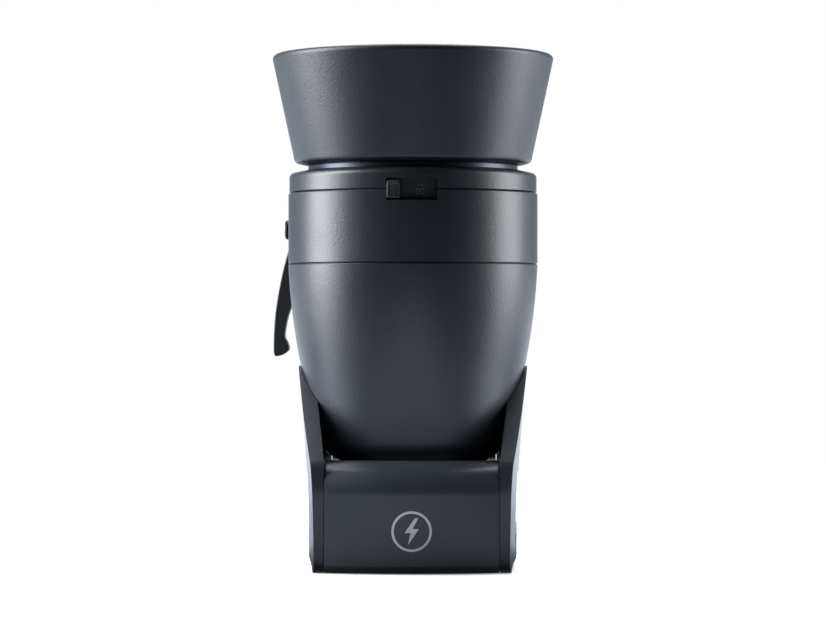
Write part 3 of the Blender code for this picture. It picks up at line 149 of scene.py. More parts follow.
def smoothLoop(points, per=6):
    # a closed curve through a few outline points
    out = []
    count = len(points)
    for i in range(count):
        p0, p1, p2, p3 = (Vector(points[(i + k) % count]) for k in (-1, 0, 1, 2))
        for k in range(per):
            t = k / per
            out.append(tuple(0.5 * (2 * p1 + (p2 - p0) * t + (2 * p0 - 5 * p1 + 4 * p2 - p3) * t * t
                                    + (3 * p1 - p0 - 3 * p2 + p3) * t ** 3)))
    return out


def helper(bm):
    mesh = bpy.data.meshes.new("helper")
    bm.to_mesh(mesh)
    bm.free()
    obj = bpy.data.objects.new("helper", mesh)
    bpy.context.scene.collection.objects.link(obj)
    return obj


def combined(bm, tools, operation="DIFFERENCE"):
    base = helper(bm)
    helpers = [helper(tool) for tool in tools]
    for tool in helpers:
        change = base.modifiers.new("Change", "BOOLEAN")
        change.operation = operation
        change.solver = "EXACT"
        change.object = tool
    bpy.context.view_layer.update()
    made = bpy.data.meshes.new_from_object(base.evaluated_get(bpy.context.evaluated_depsgraph_get()))
    result = bmesh.new()
    result.from_mesh(made)
    for obj in [base] + helpers:
        mesh = obj.data
        bpy.data.objects.remove(obj)
        bpy.data.meshes.remove(mesh)
    bpy.data.meshes.remove(made)
    bmesh.ops.remove_doubles(result, verts=result.verts, dist=mergeGap)
    return result


def carved(bm, *tools):
    return combined(bm, tools)


def merged(bm, *tools):
    return combined(bm, tools, "UNION")


def together(*parts):
    # several closed shapes in one mesh
    bm = parts[0]
    for part in parts[1:]:
        mesh = bpy.data.meshes.new("helper")
        part.to_mesh(mesh)
        part.free()
        bm.from_mesh(mesh)
        bpy.data.meshes.remove(mesh)
    return bm


def addPiece(name, bm, finish, body, nodes=()):
    bmesh.ops.scale(bm, vec=(mm, mm, mm), verts=bm.verts)
    bmesh.ops.dissolve_degenerate(bm, edges=bm.edges, dist=1e-7)
    mesh = bpy.data.meshes.new(name)
    bm.to_mesh(mesh)
    bm.free()
    mesh.materials.clear()
    mesh.materials.append(finish)
    mesh.shade_smooth()
    mesh.set_sharp_from_angle(angle=math.radians(sharpAngle))
    obj = bpy.data.objects.new(name, mesh)
    bpy.context.scene.collection.objects.link(obj)
    even = obj.modifiers.new("EvenShading", "WEIGHTED_NORMAL")
    even.keep_sharp = True
    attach(obj, body)
    if nodes:
        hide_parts(*nodes)
    return obj


# Materials

def toLinear(hexColour):
    channels = [int(hexColour[i:i + 2], 16) / 255 for i in (1, 3, 5)]
    return tuple(c / 12.92 if c <= 0.04045 else ((c + 0.055) / 1.055) ** 2.4 for c in channels) + (1.0,)


def addNode(tree, kind, settings=None, links=None):
    node = tree.nodes.new(kind)
    for key, value in (settings or {}).items():
        if isinstance(key, int) or key in node.inputs:
            node.inputs[key].default_value = value
        else:
            setattr(node, key, value)
    for key, source in (links or {}).items():
        tree.links.new(source, node.inputs[key])
    return node


def newFinish(name, colour, roughness, sockets=None):
    finish = bpy.data.materials.new(name)
    finish.use_nodes = True
    tree = finish.node_tree
    shader = tree.nodes["Principled BSDF"]
    shader.inputs["Base Color"].default_value = toLinear(colour)
    shader.inputs["Roughness"].default_value = roughness
    for key, value in (sockets or {}).items():
        shader.inputs[key].default_value = value
    return finish, tree, shader


def addGrain(tree, shader, size, depth, detail=2.0, stretch=(1, 1, 1)):
    # a fine raised texture, with its size and depth in millimetres
    place = addNode(tree, "ShaderNodeTexCoord")
    mapped = addNode(tree, "ShaderNodeMapping", {"Scale": stretch}, {"Vector": place.outputs["Object"]})
    noise = addNode(tree, "ShaderNodeTexNoise", {"Scale": 1 / (size * mm), "Detail": detail},
                    {"Vector": mapped.outputs["Vector"]})
    bump = addNode(tree, "ShaderNodeBump", {"Strength": 1.0, "Distance": depth * mm},
                   {"Height": noise.outputs["Fac"]})
    tree.links.new(bump.outputs["Normal"], shader.inputs["Normal"])
    return place


def addDrift(tree, shader, place, size, roughLow, roughHigh, dark, light):
    # slow changes of gloss and tone over the surface, as handling and moulding leave
    noise = addNode(tree, "ShaderNodeTexNoise", {"Scale": 1 / (size * mm), "Detail": 3.0},
                    {"Vector": place.outputs["Object"]})
    gloss = addNode(tree, "ShaderNodeMapRange", {"From Min": 0.3, "From Max": 0.7, "To Min": roughLow,
                                                 "To Max": roughHigh}, {"Value": noise.outputs["Fac"]})
    tree.links.new(gloss.outputs["Result"], shader.inputs["Roughness"])
    tone = addNode(tree, "ShaderNodeMix", {"data_type": "RGBA", 6: toLinear(dark), 7: toLinear(light)},
                   {0: noise.outputs["Fac"]})
    tree.links.new(tone.outputs[2], shader.inputs["Base Color"])


def texturedFinish(name, colour, roughness, grain, drift=None, sockets=None):
    # grain: size, depth and, where given, detail and stretch; drift: size, low and high roughness, tones
    finish, tree, shader = newFinish(name, colour, roughness, sockets)
    place = addGrain(tree, shader, *grain)
    if drift:
        addDrift(tree, shader, place, *drift)
    return finish


def liningFinish():
    # peened bright aluminium: many small dimples that spread the flash
    finish, tree, shader = newFinish("peenedBrightAluminium", "#c9cbcd", 0.26, {"Metallic": 1.0})
    place = addNode(tree, "ShaderNodeTexCoord")
    cells = addNode(tree, "ShaderNodeTexVoronoi", {"Scale": 1 / (2.6 * mm), "feature": "SMOOTH_F1",
                                                   "Smoothness": 0.6}, {"Vector": place.outputs["Object"]})
    bump = addNode(tree, "ShaderNodeBump", {"Strength": 1.0, "Distance": 0.18 * mm},
                   {"Height": cells.outputs["Distance"]})
    tree.links.new(bump.outputs["Normal"], shader.inputs["Normal"])
    addDrift(tree, shader, place, 18, 0.22, 0.32, "#bfc1c4", "#d2d4d6")
    return finish


def circuitBoardFinish():
    # solder-masked glass epoxy: green lacquer over faint copper lanes
    finish, tree, shader = newFinish("solderMaskedEpoxy", "#0f5a2c", 0.3)
    place = addNode(tree, "ShaderNodeTexCoord")
    colours = {"Color1": toLinear("#0e5128"), "Color2": toLinear("#11602f"), "Mortar": toLinear("#1a7a3e")}
    lanes = addNode(tree, "ShaderNodeTexBrick", {"Scale": 1 / (9 * mm), "Mortar Size": 0.03, **colours},
                    {"Vector": place.outputs["Object"]})
    tree.links.new(lanes.outputs["Color"], shader.inputs["Base Color"])
    return finish


# moulded polycarbonate with a fine spark-eroded texture: a soft satin with tiny glints. The real grain is
# nearer 0.1 mm, too fine to show, and is drawn coarser, as on the next two
housing = texturedFinish("sparkErodedPolycarbonate", "#181e24", 0.37, (0.85, 0.085),
                         (22, 0.35, 0.39, "#151b21", "#1b2127"), {"IOR": 1.56})
# the same plastic moulded with a glossier texture: greyer where the light falls on it
framePlastic = texturedFinish("coarseTexturedPolycarbonate", "#30353b", 0.31, (0.8, 0.04),
                              (22, 0.29, 0.33, "#2d3238", "#33383e"), {"IOR": 1.6})
# powder-coated spun aluminium: like the housing, a touch flatter and coarser
hoodPaint = texturedFinish("powderCoatedAluminium", "#191f25", 0.42, (0.9, 0.085),
                           (25, 0.4, 0.45, "#161c22", "#1c2228"), {"IOR": 1.5})
# glass-filled nylon: near black, dry, with a slightly mottled grain
blackPlastic = texturedFinish("glassFilledNylon", "#17191c", 0.5, (0.6, 0.02),
                              (9, 0.45, 0.56, "#141619", "#1b1e22"))
# moulded elastomer: flat black that takes a soft sheen at its edges
rubber = texturedFinish("mouldedElastomer", "#141517", 0.72, (0.45, 0.03),
                        (12, 0.66, 0.78, "#121315", "#191a1c"),
                        {"Sheen Weight": 0.12, "Sheen Roughness": 0.5})
# black epoxy-coated die casting: satin black over slightly uneven metal
bracketPaint = texturedFinish("epoxyCoatedDieCasting", "#1d2024", 0.4, (0.9, 0.03, 4.0),
                              (14, 0.36, 0.46, "#1a1d21", "#22262a"), {"IOR": 1.52})
# black-anodised aluminium turned on a lathe: dark metal with fine rings round the axis
turnedAluminium = texturedFinish("anodisedTurnedAluminium", "#3d4148", 0.36,
                                 (2.5, 0.004, 2.0, (0.04, 0.04, 6)),
                                 (16, 0.32, 0.4, "#383c43", "#42464d"), {"Metallic": 1.0})
# plain cast aluminium: grey metal with a pebbled skin
castAluminium = texturedFinish("plainCastAluminium", "#8f9296", 0.45, (0.8, 0.03, 4.0),
                               (8, 0.4, 0.55, "#85888c", "#999ca0"), {"Metallic": 1.0})
# zinc-plated steel: cool grey, lightly clouded
steel = texturedFinish("zincPlatedSteel", "#8d9096", 0.32, (0.5, 0.006), (4, 0.26, 0.4, "#81858b", "#9a9da3"),
                       {"Metallic": 1.0})
# black-oxide steel: dark, a little oily
blackSteel = texturedFinish("blackOxideSteel", "#26282b", 0.34, (0.4, 0.006),
                            (3, 0.28, 0.42, "#212326", "#2f3134"), {"Metallic": 1.0})
lining = liningFinish()
# sandblasted borosilicate: milky, lets light through softly
frostedGlass = texturedFinish("sandblastedBorosilicate", "#f1f3f4", 0.5, (0.3, 0.012),
                              (15, 0.46, 0.55, "#eceff0", "#f6f7f7"),
                              {"Transmission Weight": 0.75, "IOR": 1.47})
# drawn quartz tube: clear and hard-edged
quartz = texturedFinish("drawnQuartz", "#f7f9fb", 0.03, (6.0, 0.02), None,
                        {"Transmission Weight": 0.95, "IOR": 1.46})
# glazed steatite: off-white with a soft shine
ceramic = texturedFinish("glazedSteatite", "#d9d5c8", 0.22, (1.6, 0.01), (6, 0.18, 0.3, "#d3cfc1", "#dfdbd0"),
                         {"IOR": 1.6})
# remote phosphor over the LED: a flat warm yellow
phosphor = texturedFinish("phosphorSilicone", "#d8b234", 0.55, (0.4, 0.01),
                          (3, 0.5, 0.6, "#d2a92c", "#dfbc45"))
circuitBoard = circuitBoardFinish()
# heat-shrunk PVC sleeve: deep blue film, glossy, slightly rippled
shrinkWrap = texturedFinish("heatShrunkSleeve", "#16233f", 0.25, (7.0, 0.15),
                            (12, 0.2, 0.32, "#131f39", "#1b2a4a"))
# tinted acrylic over the display: black and glossy
displayGlass = texturedFinish("tintedAcrylic", "#08090b", 0.08, (20.0, 0.01), None, {"Coat Weight": 0.3})
# pad-printed ink: off-white and flat
ink = texturedFinish("padPrintedInk", "#eceef0", 0.6, (0.3, 0.008), (3, 0.55, 0.65, "#dee1e4", "#eceef0"))
# dark grey icon print, barely lighter than the plastic under it
darkInk = texturedFinish("darkPadPrint", "#4a4f56", 0.55, (0.3, 0.006), (3, 0.5, 0.6, "#474c53", "#50555c"))
# lit display segments: a cool white glow
segmentGlow = texturedFinish("litDisplaySegment", "#dfe8ef", 0.4, (0.5, 0.002), None,
                             {"Emission Color": toLinear("#cfe3f2"), "Emission Strength": 1.2})
print("materials made:", len(bpy.data.materials))


# The CAD nodes that stay as they are sit inside the head, and take a fine material
keptNodes = {
    "front_bulkhead": castAluminium, "led_heat_sink": castAluminium,
    "capacitor_1": shrinkWrap, "capacitor_2": shrinkWrap, "capacitor_3": shrinkWrap,
    "power_board": circuitBoard, "control_board": circuitBoard, "battery_pack": shrinkWrap,
    "fan_frame": blackPlastic, "fan_impeller": blackPlastic, "encoder_body": steel, "clamp_bolt": steel,
}
for node, finish in keptNodes.items():
    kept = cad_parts[node]
    kept.data.materials.clear()
    kept.data.materials.append(finish)


# Round body
shell = {
    "bodyRadius": 60.0, "bottomRadius": 16.0, "linear": 0.043, "square": 0.00165, "wall": 2.5,
    "seamGroove": 0.35, "seamDepth": 0.4, "bottomShare": 0.69, "steps": 180,
}
shellLow, shellTop = [corner.z for corner in nodeBox("main_shell")]


def shellRadius(z):
    depth = shellTop - z
    return shell["bodyRadius"] - shell["linear"] * depth - shell["square"] * depth * depth


def shellOutline(inset, count=36):
    corner = shell["bottomRadius"]
    start = shellLow + corner * shell["bottomShare"]     # here the bottom corner runs into the taper
    lean = math.degrees(math.atan(shell["linear"] + 2 * shell["square"] * (shellTop - start)))
    centre = shellRadius(start) - corner * math.cos(math.radians(lean))
    points = [(0.0, shellLow + inset)]
    points += arcPoints(centre, shellLow + corner, corner - inset, -90, -lean, 14)
    for i in range(1, count + 1):
        z = start + (shellTop - start) * i / count
        points.append((shellRadius(z) - inset, z))
    return points


def addMainShell():
    outer = shellOutline(0.0)
    outer[-1] = (outer[-1][0] - shell["seamGroove"], outer[-1][1])
    seam = shellTop - shell["seamDepth"]
    outer.insert(-1, (shellRadius(seam), seam))
    bm = turned(outer + shellOutline(shell["wall"])[::-1], shell["steps"], closed=False)
    addPiece("taperedShell", bm, housing, "head", ["main_shell"])


windowGap = {"half": 11.8, "below": 5.3, "above": 5.0, "outY": -64, "inY": -52}
barrel = {"edge": 0.45, "foot": 0.4, "wall": 2.5, "lipHeight": 4.0, "lipRoot": 2.8, "lipOut": 3.2,
          "lipIn": 5.0, "gate": 0.7}
barrelLow, barrelTop = nodeBox("barrel_shell")[0].z + barrel["lipHeight"], nodeBox("barrel_shell")[1].z
ringLow = nodeBox("front_ring")[0].z


def windowTool():
    half = windowGap["half"]
    return block((-half, windowGap["outY"], ringLow - windowGap["below"]),
                 (half, windowGap["inY"], ringLow + windowGap["above"]))


def addBarrel():
    # the casing has a lip at its foot that sits inside the tapered shell
    r, edge, foot, wall = shell["bodyRadius"], barrel["edge"], barrel["foot"], barrel["wall"]
    lipLow, lipIn = barrelLow - barrel["lipHeight"], r - barrel["lipIn"]
    profile = [(r - edge, barrelTop), (r, barrelTop - edge), (r, barrelLow + foot), (r - foot, barrelLow),
               (r - barrel["lipRoot"], barrelLow), (r - barrel["lipOut"], lipLow), (lipIn, lipLow),
               (lipIn, barrelLow), (r - wall, barrelLow + wall), (r - wall, barrelTop)]
    gate = rod(barrel["gate"], -r - 2, -r + 0.5, "Y", (0, 0, barrelLow + 0.1), 24)     # the mould's gate mark
    bm = carved(turned(profile, shell["steps"]), windowTool(), gate)
    addPiece("barrelCasing", bm, housing, "head", ["barrel_shell"])


frontRing = {"radius": 59.5, "hole": 51.1, "wall": 2.5, "shoulder": 2.6, "crown": 0.8, "foot": 0.4}


def addFrontRing():
    low, high = ringLow, nodeBox("front_ring")[1].z
    r, hole, wall = frontRing["radius"], frontRing["hole"], frontRing["wall"]
    shoulder, foot = frontRing["shoulder"], frontRing["foot"]
    edge = high - frontRing["crown"]
    profile = [(hole, high), (r - 5.5, edge + 0.15)]     # a slightly crowned top
    profile += arcPoints(r - shoulder, edge - 0.4 - shoulder, shoulder, 72, 0, 10)
    profile += [(r, low + foot), (r - foot, low), (r - wall, low), (r - wall, edge - wall),
                (hole, edge - wall)]
    bm = carved(turned(profile, shell["steps"]), windowTool())
    addPiece("frontRingCasing", bm, housing, "head", ["front_ring"])


# Accessory collar and its lock
collar = {"shoulder": 50.5, "spigot": 49.2, "inner": 46.4, "pinHole": 2.3, "flange": 2.2, "chamfer": 0.9,
          "seatGap": 0.3, "edge": 0.25}
latchAngles = (30.0, 150.0, 270.0)
pinHeight = nodeBox("lock_latch_1")[1].z - 2.5


def addCollar():
    low, high = nodeBox("mount_collar")
    seat = nodeBox("reflector_bowl")[0].z - collar["seatGap"]
    inner, spigot, shoulder = collar["inner"], collar["spigot"], collar["shoulder"]
    chamfer = collar["chamfer"]
    flangeTop = low.z + collar["flange"]
    profile = [(inner, high.z), (spigot - chamfer, high.z), (spigot, high.z - chamfer), (spigot, seat),
               (shoulder, seat), (shoulder, flangeTop), (high.x, flangeTop), (high.x, low.z), (inner, low.z)]
    bm = turned(profile, 160, collar["edge"], segments=2)
    holes = [swung(rod(collar["pinHole"], 40, 54, "X", (0, 0, pinHeight)), a) for a in latchAngles]
    addPiece("bayonetCollar", carved(bm, *holes), turnedAluminium, "head",
             ["mount_collar"])


lock = {
    "inner": 53.5, "outer": 56.4, "rampDepth": 4.3, "knobHalf": 3.0, "knobProud": 0.4, "knobSlope": 2.9,
    "ribHalf": 0.18, "ribAt": 1.6,
    "ramp": ((50.5, 1.8), (53.5, 1.8), (54.5, -7.4), (55.49, -16.5), (55.49, -18.3), (50.5, -18.3)),
    "icons": ((3.9, 22), (-20.4, 0)),      # each padlock's place round the ring, and its shackle's tilt
}


def addLockRing():
    low, high = [corner.z for corner in nodeBox("lock_ring")]
    profile = [(lock["outer"], high), (lock["outer"], low), (lock["inner"], low), (lock["inner"], high)]
    ramps = []
    for angle in latchAngles:
        turns = [(r, math.radians(angle + a)) for r, a in lock["ramp"]]
        outline = [(r * math.cos(a), r * math.sin(a)) for r, a in turns]
        ramps.append(plate(outline, high - lock["rampDepth"], high + 2))
    bm = carved(turned(profile, 160, 0.2, segments=2), *ramps)
    addPiece("lockRingBody", bm, blackPlastic, "lock_ring", ["lock_ring"])


def addLockSlider():
    low, high = nodeBox("lock_slider")
    turnDeg = math.degrees(math.atan2((low.x + high.x) / 2, -(low.y + high.y) / 2))
    half, ribHalf = lock["knobHalf"], lock["ribHalf"]
    inner, outer = lock["outer"] + 0.3, shell["bodyRadius"] + lock["knobProud"]
    shade = high.z - lock["knobSlope"]     # above this the cap slopes back
    outline = [(-inner, low.z), (-outer + 0.3, low.z), (-outer, low.z + 0.8), (-outer, shade),
               (-outer + 1.5, high.z), (-inner, high.z)]
    bm = plate(outline, -half, half, "X", soften=0.45)
    ribs = [block((x - ribHalf, -outer - 1, low.z + 1.2), (x + ribHalf, -outer + 0.3, shade - 0.4))
            for x in (-lock["ribAt"], lock["ribAt"])]
    addPiece("lockThumbPiece", swung(carved(bm, *ribs), turnDeg), blackPlastic, "lock_ring",
             ["lock_slider"])


def padlockIcon(tilt):
    # a padlock drawn with a body, a keyhole and a shackle that is open when tilted
    thin = 0.06
    body = carved(block((-1.9, -thin, -2.4), (1.9, thin, 0.3), 0.05, 1),
                  block((-1.45, -1, -1.95), (1.45, 1, -0.15)))
    keyhole = block((-0.28, -thin, -1.6), (0.28, thin, -0.6))
    bow = carved(rod(1.45, -thin, thin, "Y", (0, 0, 0.3), 40), rod(1.0, -1, 1, "Y", (0, 0, 0.3)),
                 block((-3, -1, -3), (3, 1, 0.42)))
    if tilt:
        bmesh.ops.translate(bow, vec=(0, 0, 0.35), verts=bow.verts)
        swung(bow, tilt, (1.2, 0, 0.4), "Y")
    return together(body, keyhole, bow)


def addLockIcons():
    middle = ringLow + (windowGap["above"] - windowGap["below"]) / 2
    icons = []
    for offset, tilt in lock["icons"]:
        icon = padlockIcon(tilt)
        bmesh.ops.translate(icon, vec=(0, -lock["outer"] - 0.04, middle), verts=icon.verts)
        icons.append(swung(icon, offset))
    addPiece("lockIcons", together(*icons), darkInk, "lock_ring")


latch = {"foot": 3.0, "leg": 2.2, "halfWidth": 1.3, "pinHalf": 1.5, "pinEdge": 0.5, "pinGap": 0.3}


def addLatches():
    low, high = nodeBox("lock_latch_3")       # this latch lies along -Y
    inner, outer = -high.y, -low.y
    legOut, footTop = inner + latch["leg"], low.z + latch["foot"]
    pin, pinHalf, edge = collar["spigot"] - latch["pinGap"], latch["pinHalf"], latch["pinEdge"]
    pinLow, pinTop = pinHeight - pinHalf, pinHeight + pinHalf
    outline = [(inner, low.z), (outer, low.z), (outer, footTop), (legOut, footTop), (legOut, pinLow),
               (pin - edge, pinLow), (pin, pinLow + edge), (pin, pinTop - edge), (pin - edge, pinTop),
               (legOut, pinTop), (legOut, high.z), (inner, high.z)]
    for number, angle in enumerate(latchAngles, 1):
        bm = swung(plate(outline, -latch["halfWidth"], latch["halfWidth"], "Y", soften=0.25), angle)
        addPiece(f"sprungLatch{number}", bm, steel, f"latch_{number}", [f"lock_latch_{number}"])


addMainShell()
addBarrel()
addFrontRing()
addCollar()
addLockRing()
addLockSlider()
addLockIcons()
addLatches()
print("round body and lock made")


# Reflector
hood = {
    "rear": 57.4, "rim": 67.5, "wall": 1.8, "bead": 2.2, "liningGap": 0.12, "rootUp": 5.0, "sleeveWall": 2.6,
    "grooveHalf": 2.4, "grooveDepth": 1.7,
}


def addReflector():
    low, high = [corner.z for corner in nodeBox("reflector_bowl")]
    sleeveLow, sleeveHigh = nodeBox("reflector_sleeve")
    sleeveOut = sleeveHigh.x
    sleeveIn = sleeveOut - hood["sleeveWall"]
    rear, rim, wall, bead = hood["rear"], hood["rim"], hood["wall"], hood["bead"]
    root = (rear - wall - 2.6, low + hood["rootUp"])     # the inner corner turns about here
    slope = math.degrees(math.atan((rim - rear) / (high - low)))
    profile = [(sleeveIn, low), (rear - 4.2, low + 0.45)]
    profile += arcPoints(rear - 2.4, low + 3.1, 2.2, -72, -slope, 8)
    profile += arcPoints(rim - bead, high - bead, bead, -slope, 90, 10)
    profile += arcPoints(rim - bead - 0.9, high - 1.1, 1.1, 90, 180, 6)
    profile += [(rim - bead - 2.0, high - 3.2), (rear - wall + 0.3, low + 6.0)]
    profile += arcPoints(*root, 2.8, 0, -80, 6)
    profile += [(sleeveOut + 0.3, low + wall), (sleeveIn, low + wall)]
    addPiece("reflectorHood", turned(profile, shell["steps"]), hoodPaint, "reflector",
             ["reflector_bowl"])

    # the bright skin inside the hood
    skin = hood["liningGap"]
    inner = [(rim - bead - 2.15, high - 3.4), (rear - wall + 0.15, low + 6.0)]
    inner += arcPoints(*root, 2.65, 0, -80, 6)
    inner += [(sleeveOut + 0.4, low + wall + 0.12)]
    outer = [(r - skin, z + skin * 0.4) for r, z in inner]
    addPiece("reflectorLining", turned(inner + outer[::-1], 160), lining, "reflector")

    grooveLow, grooveHigh = pinHeight - hood["grooveHalf"], pinHeight + hood["grooveHalf"]
    grooveIn = sleeveIn + hood["grooveDepth"]
    profile = [(sleeveOut, sleeveHigh.z), (sleeveOut, sleeveLow.z), (sleeveIn, sleeveLow.z),
               (sleeveIn, grooveLow), (grooveIn, grooveLow), (grooveIn, grooveHigh), (sleeveIn, grooveHigh),
               (sleeveIn, sleeveHigh.z)]
    addPiece("reflectorSleeve", turned(profile, 160, 0.3, segments=2), turnedAluminium,
             "reflector", ["reflector_sleeve"])


# Light source
dome = {"rise": 34.0, "skirt": 10.0, "wall": 2.4, "arc": 27}
source = {"pinAt": 23.0, "pinHole": 2.6, "panGap": 0.4, "boardHeight": 1.5, "phosphor": 7.5}
tube = {"radius": 4.0, "leg": 2.2, "start": -78.0, "sweep": 336.0, "end": 1.2}


def domeLine(inset):
    low, high = nodeBox("glass_dome")
    r, rise, base = high.x - inset, dome["rise"] - inset, low.z + dome["skirt"]
    angles = [math.radians(90 * i / dome["arc"]) for i in range(dome["arc"])]
    return ([(r, low.z)] + [(r * math.cos(a), base + rise * math.sin(a)) for a in angles]
            + [(0.0, base + rise)])


def addDome():
    bm = turned(domeLine(0.0) + domeLine(dome["wall"])[::-1], 128)
    addPiece("frostedDome", bm, frostedGlass, "glass_dome", ["glass_dome"])


def addSocket():
    low, high = nodeBox("lamp_socket")
    bm = turned([(0, high.z), (high.x, high.z), (high.x, low.z), (0, low.z)], 96, 0.6, closed=False)
    pinHoles = [rod(source["pinHole"], high.z - 6, high.z + 2, "Z", (x, 0, 0))
                for x in (-source["pinAt"], source["pinAt"])]
    addPiece("tubeSocket", carved(bm, *pinHoles), ceramic, "head", ["lamp_socket"])
    hole = high.x + source["panGap"]
    low, high = nodeBox("inner_pan")
    profile = [(hole, high.z), (high.x, high.z), (high.x, low.z), (hole, low.z)]
    addPiece("reflectingPan", turned(profile, 128, 0.2, segments=2), lining, "head",
             ["inner_pan"])


def addModellingLed():
    low, high = nodeBox("modelling_led")
    top, r = low.z + source["boardHeight"], source["phosphor"]
    bm = turned([(0, top), (high.x, top), (high.x, low.z), (0, low.z)], 72, 0.2, closed=False)
    addPiece("ledBoard", bm, ceramic, "head", ["modelling_led"])
    under = top + 0.1
    bm = turned([(0, high.z), (r - 1, high.z), (r, high.z - 0.4), (r, under), (0, under)], 72, closed=False)
    addPiece("ledPhosphor", bm, phosphor, "head")


def addFlashTube():
    # a ring with two legs that plug into the socket
    low, high = nodeBox("flash_tube")
    height = high.z - tube["radius"]
    bm = bmesh.new()
    start = bmesh.ops.create_circle(bm, cap_ends=True, segments=28, radius=tube["radius"])["verts"]
    bmesh.ops.rotate(bm, cent=(0, 0, 0), matrix=Matrix.Rotation(math.radians(90), 3, "X"), verts=start)
    bmesh.ops.translate(bm, vec=(source["pinAt"], 0, height), verts=start)
    swung(bm, tube["start"])
    bmesh.ops.spin(bm, geom=bm.verts[:] + bm.edges[:] + bm.faces[:], cent=(0, 0, 0), axis=(0, 0, 1),
                   angle=math.radians(tube["sweep"]), steps=84)
    bmesh.ops.recalc_face_normals(bm, faces=bm.faces)
    roundEdges(bm, tube["end"], 60)
    legs = [rod(tube["leg"], low.z, height - 0.5, "Z", (x, 0, 0), 28, 0.3)
            for x in (-source["pinAt"], source["pinAt"])]
    addPiece("ringFlashTube", merged(bm, *legs), quartz, "flash_tube", ["flash_tube"])


addReflector()
addDome()
addSocket()
addModellingLed()
addFlashTube()
print("reflector and light source made")


# Rear frame: the cheeks, the handle bar and the box between them
cheek = {
    "tipZ": 95.6, "tipX": 55.0, "rearX": 49.9, "swell": 2.2, "bow": 0.0014, "creaseZ": 50.6, "innerX": 41.0,
    "flare": 0.15, "tipHalf": 5.0, "backY": 52.0, "footRadius": 6.0, "cornerRadius": 5.0, "tipRound": 3.0,
    "sweep": 2.2, "tuckFrom": -50.0, "tuckOver": 25.0, "edge": 0.7, "screwHole": 3.0, "rows": 64,
    "columns": 56,
}
bar = {
    "frontY": -62.0, "innerY": -44.0, "topZ": 52.0, "topRadius": 15.5, "footRadius": 4.0, "bow": 143.0,
    "wall": 2.5, "half": 40.7, "swing": 21.0, "seamGap": 0.3, "edge": 0.35, "steps": 60,
}


def barBow(x):
    return bar["bow"] - math.sqrt(bar["bow"] ** 2 - x * x)


def cheekNear(z):
    # the front edge beside the bar, then the slanted shoulder up to the tip
    flat = bar["frontY"] + barBow((cheek["innerX"] + cheek["rearX"]) / 2 - 1.5)
    slope = (-flat - cheek["sweep"] - cheek["tipHalf"]) / (cheek["tipZ"] - cheek["creaseZ"])
    if z >= cheek["creaseZ"]:
        return -(cheek["tipHalf"] + slope * (cheek["tipZ"] - z))
    rollZ = bar["topZ"] - bar["topRadius"]
    if z > rollZ:
        return flat + cheek["sweep"] * ((z - rollZ) / (cheek["creaseZ"] - rollZ)) ** 2
    low = max(0.0, bar["footRadius"] - z)
    return flat + bar["footRadius"] - math.sqrt(bar["footRadius"] ** 2 - low ** 2)


def cheekFar(z):
    slope = (cheek["backY"] - cheek["tipHalf"]) / (cheek["tipZ"] - cheek["creaseZ"])
    return min(cheek["backY"], cheek["tipHalf"] + slope * (cheek["tipZ"] - z))


def cheekOuter(z, y):
    widest = cheek["rearX"] + (cheek["tipX"] - cheek["rearX"]) * (z / cheek["tipZ"]) ** cheek["swell"]
    corner = cheek["cornerRadius"]
    past = max(0.0, y - (cheek["backY"] - corner))
    foot = cheek["footRadius"]
    low = max(0.0, foot - z)
    share = min(1.0, max(0.0, (y - cheek["tuckFrom"]) / cheek["tuckOver"]))
    tuck = (foot - math.sqrt(max(0.0, foot ** 2 - low ** 2))) * share * share * (3 - 2 * share)
    return widest - cheek["bow"] * y * y - (corner - math.sqrt(max(0.0, corner ** 2 - past ** 2))) - tuck


def cheekBody():
    # a sheet laid on the cheek's outer face, then extruded to its inner face
    bm = bmesh.new()
    bmesh.ops.create_grid(bm, x_segments=cheek["columns"], y_segments=cheek["rows"], size=0.5)
    tipRound = cheek["tipRound"]
    for vert in bm.verts:
        u, v = vert.co.x + 0.5, vert.co.y + 0.5
        z = cheek["tipZ"] * v
        near, far = cheekNear(z), cheekFar(z)
        over = max(0.0, z - (cheek["tipZ"] - tipRound))
        drawnIn = tipRound - math.sqrt(max(0.0, tipRound ** 2 - over ** 2))
        near += drawnIn
        y = near + (far - drawnIn - near) * u
        vert.co = (cheekOuter(z, y), y, z)
    for vert in extruded(bm):
        inner = cheek["innerX"] + max(0.0, vert.co.z - bar["topZ"]) * cheek["flare"]
        vert.co.x = min(inner, vert.co.x - 0.3)
    bmesh.ops.recalc_face_normals(bm, faces=bm.faces)
    return roundEdges(bm, cheek["edge"], 50)


vent = {"lowY": -30.0, "highY": 26.0, "lowZ": 20.0, "highZ": 46.0, "corner": 2.0, "slats": 9,
        "slatHalf": 0.35, "slatTilt": 28, "rimY": 2.5, "rimZ": 2.2, "back": 2.0}


def cheekScrewSpots():
    spots = []
    for number in (3, 4):
        low, high = nodeBox(f"cheek_screw_{number}")
        spots.append(((low.y + high.y) / 2, (low.z + high.z) / 2, high.x))
    return spots


def mirrored(bm):
    bmesh.ops.scale(bm, vec=(-1, 1, 1), verts=bm.verts)
    bmesh.ops.reverse_faces(bm, faces=bm.faces)
    return bm


def sided(bm, side):
    return bm if side > 0 else mirrored(bm)


def addCheek(name, side, node):
    clearance = turned(shellOutline(-0.3) + [(0.0, shellTop)], shell["steps"], closed=False)
    opening = block((36, vent["lowY"], vent["lowZ"]), (60, vent["highY"], vent["highZ"]), vent["corner"], 5)
    holes = [rod(cheek["screwHole"], x - 1.4, x + 4, "X", (0, y, z)) for y, z, x in cheekScrewSpots()]
    bm = carved(cheekBody(), clearance, opening, *holes)
    addPiece(name, sided(bm, side), framePlastic, "head", [node])


